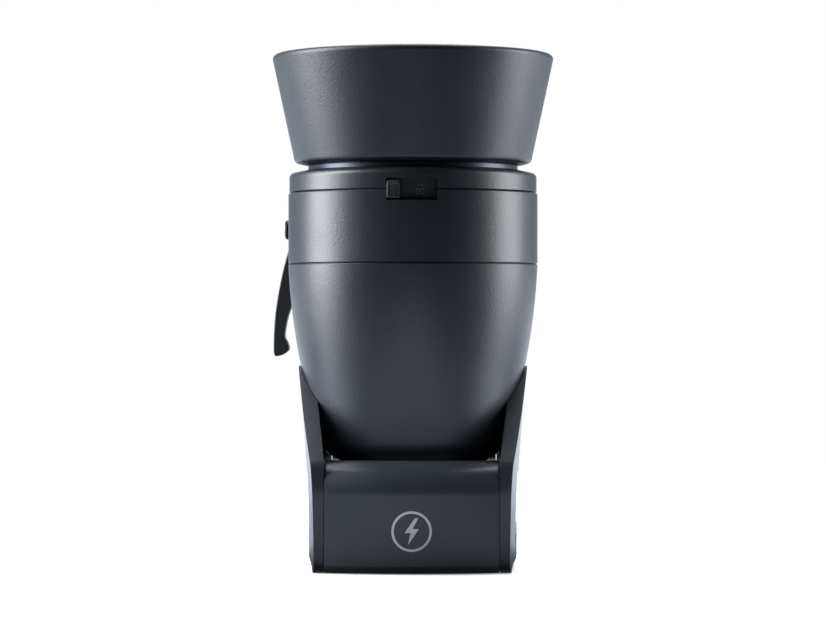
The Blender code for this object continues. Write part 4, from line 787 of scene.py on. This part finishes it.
def addVent(name, side, node):
    # a frame with slanted slats
    low, high = nodeBox("right_vent_grille")
    rimY, rimZ, back, half = vent["rimY"], vent["rimZ"], vent["back"], vent["slatHalf"]
    hollow = block((low.x + back, low.y + rimY, low.z + rimZ), (high.x + 3, high.y - rimY, high.z - rimZ),
                   1.0)
    bm = carved(block(low, high, 1.6, 4), hollow)
    pitch = (high.z - low.z - 2 * rimZ) / vent["slats"]
    slats = []
    for i in range(vent["slats"]):
        slat = block((low.x + back - 0.2, low.y + 2.0, -half), (high.x - 0.9, high.y - 2.0, half), 0.15, 2)
        swung(slat, vent["slatTilt"], (low.x + 3, 0, 0), "Y")
        bmesh.ops.translate(slat, vec=(0, 0, low.z + 3.6 + pitch * i), verts=slat.verts)
        slats.append(slat)
    addPiece(name, sided(together(bm, *slats), side), blackPlastic, "head", [node])


def screwHead(radius, height, socket, axis, at):
    # a socket head with a rounded edge and a hexagon recess
    bm = turned([(0, height), (radius, height), (radius, 0), (0, 0)], 48, 0.35, closed=False)
    return laid(carved(bm, plate(hexagon(socket), height * 0.35, height + 1)), axis, at)


def addCheekScrews():
    for number in range(1, 5):
        low, high = nodeBox(f"cheek_screw_{number}")
        side = 1 if low.x > 0 else -1
        spot = ((low if side > 0 else high).x, (low.y + high.y) / 2, (low.z + high.z) / 2)
        bm = screwHead(2.55, 1.05, 1.3, "X" if side > 0 else "-X", spot)
        addPiece(f"cheekScrewHead{number}", bm, blackSteel, "head", [f"cheek_screw_{number}"])


def barLine(inset):
    front, inner = bar["frontY"], bar["innerY"]
    topR, footR = bar["topRadius"], bar["footRadius"]
    innerR = inner - front - topR
    points = arcPoints(front + footR, footR, footR - inset, 270, 180, 8)
    points += arcPoints(front + topR, bar["topZ"] - topR, topR - inset, 180, 90, 24)
    split = len(points) - 1
    points += arcPoints(inner - innerR, bar["topZ"] - innerR, max(0.1, innerR - inset), 90, 0, 8)[1:]
    points += [(inner - inset, inset)]
    return points, split


def bowedBar(outline):
    # the section is spun round the upright axis that the bar's front face bows about, then cut to width
    bm = bmesh.new()
    verts = [bm.verts.new((0, y, z)) for y, z in outline]
    edges = [bm.edges.new(pair) for pair in zip(verts, verts[1:] + verts[:1])]
    centre = (0, bar["frontY"] + bar["bow"], 0)
    swing = bar["swing"]
    bmesh.ops.rotate(bm, cent=centre, matrix=Matrix.Rotation(math.radians(-swing), 3, "Z"), verts=bm.verts)
    bmesh.ops.spin(bm, geom=verts + edges, cent=centre, axis=(0, 0, 1), angle=math.radians(2 * swing),
                   steps=bar["steps"])
    for side in (-1, 1):
        bmesh.ops.bisect_plane(bm, geom=bm.verts[:] + bm.edges[:] + bm.faces[:], dist=0.0001,
                               plane_co=(side * bar["half"], 0, 0), plane_no=(side, 0, 0), clear_outer=True)
    rims = [e for e in bm.edges if e.is_boundary]
    bmesh.ops.holes_fill(bm, edges=rims, sides=0)
    bmesh.ops.recalc_face_normals(bm, faces=bm.faces)
    return bm


def addHandle():
    outer, split = barLine(0.0)
    inner, _ = barLine(bar["wall"])
    gap, edge = bar["seamGap"], bar["edge"]
    cover = bowedBar(outer[:split + 1] + inner[:split + 1][::-1])
    addPiece("handleCover", roundEdges(cover, edge, 50, 2), framePlastic, "head", ["handle_cover"])
    seam = outer[split][0] + gap
    footFront = bar["frontY"] + bar["footRadius"] + gap
    outline = [(seam, outer[split][1])] + outer[split + 1:-1] + [(outer[-1][0], 0.0), (footFront, 0.0)]
    outline += [(footFront, bar["wall"]), (inner[-1][0], bar["wall"])] + inner[split + 1:-1][::-1]
    outline += [(seam, inner[split][1])]
    grip = roundEdges(bowedBar(outline), edge, 50, 2)
    addPiece("handleGrip", grip, rubber, "head", ["handle_core"])


badge = {
    "radius": 9.4, "stroke": 1.15, "z": 20.0, "depth": 0.08,
    "bolt": ((1.5, 6.2), (-3.3, -0.7), (-0.5, -0.7), (-1.7, -6.2), (3.4, 1.2), (0.5, 1.2), (3.1, 6.2)),
}


def addBadge():
    # a plain flash bolt in a circle, printed on the handle
    radius = badge["radius"]
    bm = carved(rod(radius, 0, 4, steps=96), rod(radius - badge["stroke"], -2, 8, steps=96))
    bm = together(bm, plate(badge["bolt"], 0, 4))
    for x in range(-9, 10):      # cuts that let the print follow the bow
        bmesh.ops.bisect_plane(bm, geom=bm.verts[:] + bm.edges[:] + bm.faces[:], dist=0.0001,
                               plane_co=(x, 0, 0), plane_no=(1, 0, 0))
    for vert in bm.verts:
        x, z, proud = vert.co.x, vert.co.y + badge["z"], badge["depth"] if vert.co.z > 2 else -0.1
        vert.co = (x, bar["frontY"] + barBow(x) - proud, z)
    bmesh.ops.recalc_face_normals(bm, faces=bm.faces)
    addPiece("handleBadge", bm, ink, "head")


rearBox = {
    "rib": 5.0, "wall": 2.5, "backWall": 3.0, "shellGap": 0.3, "cableHole": 6.0, "cableY": 20.0, "edge": 0.6,
}


def addRearBox():
    low, high = nodeBox("rear_box")
    top, wall, back = shellLow - rearBox["shellGap"], rearBox["wall"], high.y - rearBox["backWall"]
    cavity = block((low.x + wall, rearBox["rib"] / 2, -3), (high.x - wall, back, top - wall))
    over = block((low.x - 3, low.y - 3, top), (high.x + 3, back, high.z + 3))
    cable = rod(rearBox["cableHole"], top - 8, top + 8, at=(0, rearBox["cableY"], 0))
    side = block((low.x - 3, 6.5, vent["lowZ"] + 3), (high.x + 3, vent["highY"] - 5, vent["highZ"] - 4))
    bm = roundEdges(carved(block(low, high), cavity, over, cable, side), rearBox["edge"], 40)
    addPiece("rearBoxCasing", bm, framePlastic, "head", ["rear_box"])


controls = {
    "display": (-17.0, 18.0, 18.0, 11.0), "dial": (19.0, 22.0), "usb": (11.5, 42.0), "power": (32.5, 42.0),
    "buttons": ((-29.0, 40.0), (-17.0, 40.0), (-5.0, 40.0)),
    "buttonHole": (4.5, 3.0), "powerHole": 3.9, "dialHole": 3.3, "usbHole": (5.2, 2.3),
}


def slab(centre, half, low, high, soften=0.0, segments=3):
    (x, y), (halfX, halfY) = centre, half
    return block((x - halfX, y - halfY, low), (x + halfX, y + halfY, high), soften, segments)


def addPanel():
    low, high = nodeBox("control_panel")
    under, over = low.z - 3, high.z + 3
    window = controls["display"]
    tools = [slab(window[:2], window[2:], under, over, 1.2, 4)]
    tools += [slab(spot, controls["buttonHole"], under, over, 0.8) for spot in controls["buttons"]]
    tools += [rod(controls[key + "Hole"], under, over, at=(*controls[key], 0)) for key in ("power", "dial")]
    tools += [slab(controls["usb"], controls["usbHole"], under, over, 0.8)]
    bm = roundEdges(carved(block(low, high), *tools), 0.25, 50, 2)
    addPiece("controlPanelPlate", bm, blackPlastic, "head", ["control_panel"])
    low, high = nodeBox("display_window")
    addPiece("displayPane", block(low, high, 0.3), displayGlass, "head", ["display_window"])


display = {
    # each segment of a figure: side, level and whether it is upright
    "segments": {"a": (0, 1, 0), "b": (1, 1, 1), "c": (1, 0, 1), "d": (0, -1, 0), "e": (-1, 0, 1),
                 "f": (-1, 1, 1), "g": (0, 0, 0)},
    "figures": ((-27.0, "acdfg"), (-18.5, "abcdef")), "middle": 19.0, "halfHeight": 5.4, "halfWidth": 2.2,
    "stroke": 0.45, "point": (-22.8, 24.4), "barsX": -10.5, "barStep": 1.7, "bars": 7, "thick": 0.05,
}


def addDisplayMarks():
    # seven-segment figures and a level bar, all generic
    z, thick, stroke = nodeBox("display_window")[0].z, display["thick"], display["stroke"]
    spots = [(display["point"], (stroke, stroke)), ((-17.0, 10.0), (15.0, 0.18))]
    middle, up, across = display["middle"], display["halfHeight"], display["halfWidth"]
    for x, lit in display["figures"]:
        for side, level, upright in (display["segments"][key] for key in lit):
            if upright:
                spots.append(((x + side * across, middle - (level - 0.5) * up), (stroke, 2.1)))
            else:
                spots.append(((x, middle - level * up), (1.6, stroke)))
    for i in range(display["bars"]):
        spots.append(((display["barsX"] + i * display["barStep"], 20.0), (0.5, 1.2 + i * 0.55)))
    marks = [slab(centre, half, z - thick, z + thick, 0.03, 1) for centre, half in spots]
    addPiece("displayMarks", together(*marks), segmentGlow, "head")


button = {"cap": (4.2, 2.7), "flange": (5.2, 3.7), "flangeThick": 1.1, "bar": (1.4, 0.22), "ink": 0.06}


def addMenuButtons():
    across, upright = button["bar"], button["bar"][::-1]
    for number, spot in enumerate(controls["buttons"], 1):
        low, high = nodeBox(f"menu_button_{number}")
        cap = slab(spot, button["cap"], low.z, high.z - 0.3, 0.7, 4)
        flange = slab(spot, button["flange"], high.z - button["flangeThick"], high.z, 0.3, 2)
        addPiece(f"menuKey{number}", merged(cap, flange), rubber, f"menu_button_{number}",
                 [f"menu_button_{number}"])
        # one, crossed or three bars for menu, plus and minus
        shapes = {1: [(0, across)], 2: [(0, across), (0, upright)], 3: [(s, across) for s in (0, -0.9, 0.9)]}
        bars = [slab((spot[0], spot[1] + up), half, low.z - button["ink"], low.z + 0.05)
                for up, half in shapes[number]]
        addPiece(f"menuKeyMark{number}", together(*bars), ink, f"menu_button_{number}")


def addPowerButton():
    low, high = nodeBox("power_button")
    x, y = controls["power"]
    shelf = high.z - button["flangeThick"]
    profile = [(0, high.z), (4.6, high.z), (4.6, shelf), (3.6, shelf), (3.6, low.z), (0, low.z)]
    bm = laid(turned(profile, 64, 0.3, closed=False), "Z", (x, y, 0))
    addPiece("powerKey", bm, rubber, "power_button", ["power_button"])
    inkLow, inkHigh = low.z - button["ink"], low.z + 0.1
    ring = carved(rod(1.7, inkLow, inkHigh, at=(x, y, 0)), rod(1.25, low.z - 2, low.z + 2, at=(x, y, 0)),
                  slab((x, y - 1.6), (0.6, 0.9), low.z - 1, low.z + 1))
    stroke = slab((x, y - 1.2), (0.2, 0.8), inkLow, inkHigh)
    addPiece("powerMark", together(ring, stroke), ink, "power_button")


dial = {"flutes": 30, "flute": 0.75, "fluteOut": 0.35, "bevel": 1.4, "wall": 2.0, "hub": 3.0, "dimple": 3.0,
        "dimpleAt": 7.2, "ticks": 24, "tickAt": 15.2}


def addDial():
    low, high = nodeBox("encoder_knob")
    radius, bevel, hub, inner = (high.x - low.x) / 2, dial["bevel"], dial["hub"], low.z + 2.2
    panelZ = nodeBox("control_panel")[0].z
    skirt = panelZ - 0.9
    wallIn = radius - dial["wall"]
    profile = [(0, low.z), (radius - bevel, low.z), (radius, low.z + bevel), (radius, skirt), (wallIn, skirt),
               (wallIn, inner), (hub, inner), (hub, high.z), (0, high.z)]
    tools = []
    for i in range(dial["flutes"]):
        a, reach = math.tau * i / dial["flutes"], radius + dial["fluteOut"]
        spot = (reach * math.cos(a), reach * math.sin(a), 0)
        tools.append(rod(dial["flute"], low.z + 1.8, skirt + 1, at=spot, steps=12))
    dimple = bmesh.new()
    bmesh.ops.create_uvsphere(dimple, u_segments=24, v_segments=16, radius=dial["dimple"])
    bmesh.ops.translate(dimple, vec=(0, -dial["dimpleAt"], low.z - 2.2), verts=dimple.verts)
    bm = laid(carved(turned(profile, 120, 0.4, closed=False), *tools, dimple), "Z", (*controls["dial"], 0))
    addPiece("encoderDial", bm, blackPlastic, "encoder_knob", ["encoder_knob"])
    ticks = []
    for i in range(dial["ticks"]):
        half = (0.15, 0.7 if i % 6 else 1.1)
        tick = slab((0, -dial["tickAt"]), half, panelZ - button["ink"], panelZ + 0.05)
        ticks.append(laid(swung(tick, i * 360 / dial["ticks"]), "Z", (*controls["dial"], 0)))
    addPiece("dialTicks", together(*ticks), ink, "head")


def addUsb():
    low, high = nodeBox("usb_port")
    bm = block(low, high, 0.9, 4)
    mouth = block((low.x + 0.4, low.y + 0.4, low.z - 2), (high.x - 0.4, high.y - 0.4, high.z - 1.2), 0.7, 3)
    addPiece("usbSocket", carved(bm, mouth), steel, "head", ["usb_port"])
    low, high = nodeBox("usb_flap")
    bm = block(low, high, 0.35)
    middle = (low.x + high.x) / 2
    lip = block((middle - 2, low.y - 1, low.z - 1), (middle + 2, low.y + 0.5, low.z + 0.5))
    addPiece("usbCover", carved(bm, lip), rubber, "usb_flap", ["usb_flap"])


addCheek("rightCheekCasing", 1, "right_cheek")
addCheek("leftCheekCasing", -1, "left_cheek")
addVent("rightVent", 1, "right_vent_grille")
addVent("leftVent", -1, "left_vent_grille")
addCheekScrews()
addHandle()
addBadge()
addRearBox()
addPanel()
addDisplayMarks()
addMenuButtons()
addPowerButton()
addDial()
addUsb()
print("rear frame and controls made")


# Stand bracket
pivot = Vector((0, 80, 163))
bracket = {"knuckle": 12.5, "knuckleHalf": 22.0, "ear": 13.0, "earIn": 24.1, "earOut": 40.1, "bolt": 4.2,
           "socket": 14.0, "bore": 8.1, "boreDepth": 32.0, "umbrellaY": 99.5, "umbrellaBore": 4.1,
           "standScrewHole": 4.2, "umbrellaScrewHole": 2.7, "seat": 60.3, "screwSeat": 3.6}
baseScrews = (-9.5, 9.5)
standPad = nodeBox("stand_clamp_pad")
standY = (standPad[0].y + standPad[1].y) / 2


def addTiltBase():
    low, high = nodeBox("tilt_base")
    face, ear, seatR = pivot.y - bracket["knuckle"] - 1.0, bracket["ear"], bracket["seat"]
    bm = block((low.x, 40, low.z), (high.x, face, high.z))
    ears = []
    for side in (-1, 1):
        a, b = sorted((side * bracket["earIn"], side * bracket["earOut"]))
        ears.append(rod(ear, a, b, "X", pivot, 96))
        ears.append(block((a, face - 3, pivot.z - ear), (b, pivot.y, pivot.z + ear)))
    bm = merged(bm, *ears)
    top, bottom = pivot.z + 40, pivot.z - 40
    seat = turned([(0, top), (seatR, top), (seatR, bottom), (0, bottom)], shell["steps"], closed=False)
    heads = [rod(bracket["screwSeat"], face - 3.2, face + 3, "Y", (0, 0, pivot.z + z)) for z in baseScrews]
    bm = carved(bm, seat, rod(bracket["bolt"], -50, 50, "X", pivot), *heads)
    addPiece("tiltSaddle", roundEdges(bm, 1.0, 40, 3), bracketPaint, "head", ["tilt_base"])
    for number, z in enumerate(baseScrews, 1):
        bm = screwHead(3.3, 2.2, 1.6, "Y", (0, face - 2.6, pivot.z + z))
        addPiece(f"saddleScrew{number}", bm, blackSteel, "head", [f"base_screw_{number}"])


def addBracket():
    tip = nodeBox("stand_bracket")[1].y
    half, r, umbrellaY = bracket["knuckleHalf"], bracket["knuckle"], bracket["umbrellaY"]
    knuckle = rod(r, -half, half, "X", pivot, 96)
    neck = block((-13, pivot.y + 4, pivot.z - r + 2), (13, umbrellaY + 8, pivot.z + r - 2), 3.0, 4)
    outer, root = bracket["socket"], umbrellaY - 5
    socket = turned([(0, tip), (outer - 1, tip), (outer, tip - 1), (outer, root), (0, root)], 96,
                    closed=False)
    bm = merged(knuckle, neck, laid(socket, "Y", (0, 0, pivot.z)))
    bm = carved(bm, rod(bracket["bolt"], -60, 60, "X", pivot),
                rod(bracket["bore"], tip - bracket["boreDepth"], tip + 10, "Y", (0, 0, pivot.z), 96),
                rod(bracket["umbrellaBore"], pivot.z - 40, pivot.z + 40, "Z", (0, umbrellaY, 0), 64),
                rod(bracket["standScrewHole"], 2, 40, "X", (0, standY, pivot.z)),
                rod(bracket["umbrellaScrewHole"], 2, 40, "X", (0, umbrellaY, pivot.z)))
    addPiece("standBracketBody", roundEdges(bm, 0.7, 40), bracketPaint, "stand_bracket",
             ["stand_bracket"])


def addDiscs():
    for name, node in (("leftFibreDisc", "left_friction_disc"), ("rightFibreDisc", "right_friction_disc")):
        low, high = nodeBox(node)
        r = (high.y - low.y) / 2
        profile = [(r, high.x), (r, low.x), (4.6, low.x), (4.6, high.x)]
        bm = laid(turned(profile, 96, 0.2, segments=2), "X", pivot)
        addPiece(name, bm, rubber, "head", [node])


def starOutline(radius, depth, lobes, count=160):
    points = []
    for i in range(count):
        a = math.tau * i / count
        r = radius - depth * (0.5 - 0.5 * math.cos(lobes * a))
        points.append((r * math.cos(a), r * math.sin(a)))
    return points


knobs = {
    # name: node and body, place along Y, lobes, screw radius, thickness, thread pitch
    "spigotKnob": ("stand_clamp_knob", standY, 5, 4.0, 13.0, 1.25),
    "umbrellaKnob": ("umbrella_clamp_knob", bracket["umbrellaY"], 6, 2.5, 11.0, 0.8),
}


def addClampKnobs():
    for name, (node, y, lobes, screwRadius, thickness, pitch) in knobs.items():
        low, high = nodeBox(node)
        radius, back = high.y - y, high.x - thickness
        at = (0, y, pivot.z)
        bm = plate(starOutline(radius, radius * 0.16, lobes), back, high.x, "X", at, radius * 0.13, 5)
        cup = rod(radius * 0.5, high.x - 1.0, high.x + 3, "X", at, 64, 0.6)
        addPiece(name, carved(bm, cup), rubber, node)
        screw = rod(screwRadius, low.x, back + 1, "X", at, 40, 0.4)
        screw = threaded(screw, screwRadius, low.x + 0.3, back - 1.5, pitch, at)
        addPiece(name + "Screw", screw, steel, node, [node])


def threaded(core, radius, low, high, pitch, at):
    # shallow rings cut at the thread's pitch stand for the thread
    tools = []
    for i in range(int((high - low) / pitch)):
        x = low + pitch * (i + 0.5)
        rim, half = radius + 0.6, pitch * 0.34
        profile = [(rim, x - half), (radius - pitch * 0.32, x), (rim, x + half)]
        tools.append(laid(turned(profile, 40), "X", at))
    return carved(core, together(*tools))


def addClampPad():
    low, high = standPad
    bm = rod((high.y - low.y) / 2, low.x, high.x, "X", (0, standY, pivot.z), soften=0.3)
    addPiece("spigotPad", bm, rubber, "stand_clamp_pad", ["stand_clamp_pad"])


leverShape = {
    "outline": ((-61.8, -2.0), (-63.2, -8.0), (-66.8, -21.5), (-69.6, -36.0), (-70.9, -47.0),
                (-71.4, -60.0), (-71.0, -63.1), (-70.0, -64.0), (-66.6, -63.2), (-63.9, -61.2),
                (-63.5, -59.6), (-64.3, -56.8), (-65.6, -54.0), (-64.9, -48.0), (-63.7, -43.0),
                (-61.3, -36.0), (-58.0, -24.0), (-55.0, -10.0), (-54.0, -2.0)),
    "half": 5.5, "round": 2.2, "hubIn": 41.4, "hubOut": 62.0, "hubRadius": 9.5, "capHole": 5.4,
}


def addLever():
    bm = plate(smoothLoop(leverShape["outline"], 5), -leverShape["half"], leverShape["half"], "Y", pivot,
               leverShape["round"], 5)
    r, a, b = leverShape["hubRadius"], leverShape["hubIn"], leverShape["hubOut"]
    profile = [(0, b), (r - 1, b), (r, b - 1), (r, a + 4), (r - 1.5, a), (0, a)]
    hub = laid(turned(profile, 96, 0.5, closed=False), "-X", pivot)
    bm = carved(merged(bm, hub), rod(bracket["bolt"], -b - 5, -a + 5, "X", pivot),
                rod(leverShape["capHole"], -b - 5, -b + 11, "X", pivot))
    addPiece("clampLeverArm", bm, blackPlastic, "tilt_lever", ["tilt_lever"])


def addLeverCap():
    low, high = nodeBox("lever_cap_screw")
    r, span = (high.y - low.y) / 2, high.x - low.x
    profile = [(0, span), (r - 0.7, span), (r, span - 0.7), (r, 0), (0, 0)]
    bm = turned(profile, 96, 0.2, closed=False, segments=2)
    grooves = []
    for start in (span - 3.4, span - 1.9):
        grooves.append(turned([(r + 1, start), (r - 0.45, start + 0.3), (r + 1, start + 0.6)], 64))
    bm = carved(bm, plate(hexagon(2.6), span - 2.2, span + 1), *grooves)
    addPiece("leverCapHead", laid(bm, "-X", (high.x, pivot.y, pivot.z)), blackSteel, "clamp_spindle",
             ["lever_cap_screw"])


def addClampNut():
    low, high = nodeBox("clamp_nut")
    bm = carved(plate(hexagon(7.5), low.x, high.x, "X", pivot, 0.4),
                rod(bracket["bolt"], low.x - 3, high.x + 3, "X", pivot))
    addPiece("clampHexNut", bm, steel, "head", ["clamp_nut"])


addTiltBase()
addBracket()
addDiscs()
addClampKnobs()
addClampPad()
addLever()
addLeverCap()
addClampNut()
print("stand bracket made")


# Floor, light and camera
stage = {
    "floor": 8.0, "seenColour": "#f4f4f3", "glow": 0.35, "lampColour": "#f7f9fd", "roomColour": "#e6effc",
    # ramps: from, to, value before and value after, over distances in metres
    "fade": (0.35, 1.1, 0.0, 1.0), "near": (0.08, 0.18, 0.05, 1.0), "table": (0.5, 0.9, 1.5, 0.04),
    "narrow": (0.05, 0.22, 1.0, 0.3), "outward": (0.12, 0.22, 0.0, 3.2), "level": (0.03, 0.16, 1.0, 0.0),
    "backdrop": (0.1, 0.5, 0.0, 2.0),
    # and over the parts of a direction
    "behind": (0.0, 0.2, 0.0, 1.0), "strip": (0.12, 0.36, 2.0, 0.35), "dim": 0.03,
}
smooth = {"interpolation_type": "SMOOTHSTEP"}


def ramp(name):
    return dict(zip(("From Min", "From Max", "To Min", "To Max"), stage[name]))


camera = {"distance": 1.5, "height": 0.1224, "yaw": 0.6, "lens": 135.65}
lamps = {
    # name: (place, aim, width, height, watts)
    "leftSoftbox": ((-1.0, -0.02, 0.55), (0, 0, 0.16), 0.62, 1.2, 36),
    "rightSoftbox": ((1.0, 0.12, 0.36), (0, 0, 0.14), 0.55, 0.9, 14),
    "topSoftbox": ((0, 0.35, 1.3), (0, 0, 0.1), 0.8, 0.6, 8),
}


def addFloorGlow(tree, place, reach):
    # what the object mirrors: a bright patch of table in front, one at each side and more behind
    split = addNode(tree, "ShaderNodeSeparateXYZ", {}, {"Vector": place.outputs["Object"]})
    sideways = addNode(tree, "ShaderNodeMath", {"operation": "ABSOLUTE"}, {0: split.outputs["X"]})
    along = addNode(tree, "ShaderNodeMath", {"operation": "ABSOLUTE"}, {0: split.outputs["Y"]})
    parts = {"table": reach, "near": reach, "narrow": sideways, "outward": sideways, "level": along}
    made = {}
    for name, part in parts.items():
        made[name] = addNode(tree, "ShaderNodeMapRange", {**smooth, **ramp(name)},
                             {"Value": part.outputs["Value"]})
    made["backdrop"] = addNode(tree, "ShaderNodeMapRange", ramp("backdrop"), {"Value": split.outputs["Y"]})
    joins = (("ring", "MULTIPLY", "table", "near"), ("front", "MULTIPLY", "ring", "narrow"),
             ("sides", "MULTIPLY", "outward", "level"), ("close", "MAXIMUM", "front", "sides"),
             ("bright", "MAXIMUM", "close", "backdrop"))
    for name, operation, first, second in joins:
        made[name] = addNode(tree, "ShaderNodeMath", {"operation": operation},
                             {0: made[first].outputs[0], 1: made[second].outputs[0]})
    return addNode(tree, "ShaderNodeEmission", {"Color": toLinear(stage["roomColour"])},
                   {"Strength": made["bright"].outputs["Value"]})


def addFloor():
    bm = bmesh.new()
    bmesh.ops.create_grid(bm, x_segments=8, y_segments=8, size=stage["floor"] / 2)
    bmesh.ops.translate(bm, vec=(0, 0, -0.0002), verts=bm.verts)
    mesh = bpy.data.meshes.new("studioFloor")
    bm.to_mesh(mesh)
    bm.free()
    # white acrylic sheet: pale with a faint shadow near the object, fading to pure white further out
    finish, tree, shader = newFinish("whiteAcrylicSheet", stage["seenColour"], 0.6,
                                     {"Emission Color": (1, 1, 1, 1), "Emission Strength": stage["glow"]})
    place = addNode(tree, "ShaderNodeTexCoord")
    reach = addNode(tree, "ShaderNodeVectorMath", {"operation": "LENGTH"}, {0: place.outputs["Object"]})
    fade = addNode(tree, "ShaderNodeMapRange", {**smooth, **ramp("fade")}, {"Value": reach.outputs["Value"]})
    white = addNode(tree, "ShaderNodeEmission", {"Color": (1, 1, 1, 1), "Strength": 1.0})
    seen = addNode(tree, "ShaderNodeMixShader", {}, {0: fade.outputs["Result"], 1: shader.outputs[0],
                                                     2: white.outputs[0]})
    mirroredFloor = addFloorGlow(tree, place, reach)
    path = addNode(tree, "ShaderNodeLightPath")
    mix = addNode(tree, "ShaderNodeMixShader", {}, {0: path.outputs["Is Camera Ray"],
                                                    1: mirroredFloor.outputs[0], 2: seen.outputs[0]})
    tree.links.new(mix.outputs[0], tree.nodes["Material Output"].inputs["Surface"])
    mesh.materials.append(finish)
    floor = bpy.data.objects.new("studioFloor", mesh)
    bpy.context.scene.collection.objects.link(floor)


def addLamps():
    for name, (place, aim, width, height, watts) in lamps.items():
        lamp = bpy.data.lights.new(name, "AREA")
        lamp.shape = "RECTANGLE"
        lamp.size = width
        lamp.size_y = height
        lamp.energy = watts
        lamp.color = toLinear(stage["lampColour"])[:3]
        obj = bpy.data.objects.new(name, lamp)
        obj.location = place
        obj.rotation_euler = (Vector(aim) - Vector(place)).to_track_quat("-Z", "Y").to_euler()
        bpy.context.scene.collection.objects.link(obj)


def addWorld():
    # white to look at; what the object mirrors is bright behind it and dim in front
    world = bpy.data.worlds.new("studioWorld")
    bpy.context.scene.world = world
    world.use_nodes = True
    tree = world.node_tree
    tree.nodes.clear()
    place = addNode(tree, "ShaderNodeTexCoord")
    split = addNode(tree, "ShaderNodeSeparateXYZ", {}, {"Vector": place.outputs["Generated"]})
    behind = addNode(tree, "ShaderNodeMapRange", ramp("behind"), {"Value": split.outputs["Y"]})
    aside = addNode(tree, "ShaderNodeMath", {"operation": "ABSOLUTE"}, {0: split.outputs["X"]})
    strip = addNode(tree, "ShaderNodeMapRange", {**smooth, **ramp("strip")},
                    {"Value": aside.outputs["Value"]})
    glow = addNode(tree, "ShaderNodeMath", {"operation": "MULTIPLY"},
                   {0: behind.outputs["Result"], 1: strip.outputs["Result"]})
    lift = addNode(tree, "ShaderNodeMath", {"operation": "ADD", 1: stage["dim"]}, {0: glow.outputs["Value"]})
    seen = addNode(tree, "ShaderNodeBackground", {"Color": (1, 1, 1, 1), "Strength": 1.0})
    mirroredSky = addNode(tree, "ShaderNodeBackground", {"Color": toLinear(stage["roomColour"])},
                          {"Strength": lift.outputs["Value"]})
    path = addNode(tree, "ShaderNodeLightPath")
    mix = addNode(tree, "ShaderNodeMixShader", {}, {0: path.outputs["Is Camera Ray"],
                                                    1: mirroredSky.outputs[0], 2: seen.outputs[0]})
    addNode(tree, "ShaderNodeOutputWorld", {}, {"Surface": mix.outputs[0]})


def addCamera():
    data = bpy.data.cameras.new("productCamera")
    data.lens = camera["lens"]
    data.sensor_width = 36
    data.clip_end = 50
    obj = bpy.data.objects.new("productCamera", data)
    yaw = math.radians(camera["yaw"])
    obj.location = (camera["distance"] * math.sin(yaw), -camera["distance"] * math.cos(yaw), camera["height"])
    aim = Vector((0, 0, camera["height"]))
    obj.rotation_euler = (aim - obj.location).to_track_quat("-Z", "Y").to_euler()
    bpy.context.scene.collection.objects.link(obj)
    bpy.context.scene.camera = obj


addFloor()
addLamps()
addWorld()
addCamera()
bpy.context.scene.view_settings.view_transform = "Standard"
print("stage set")
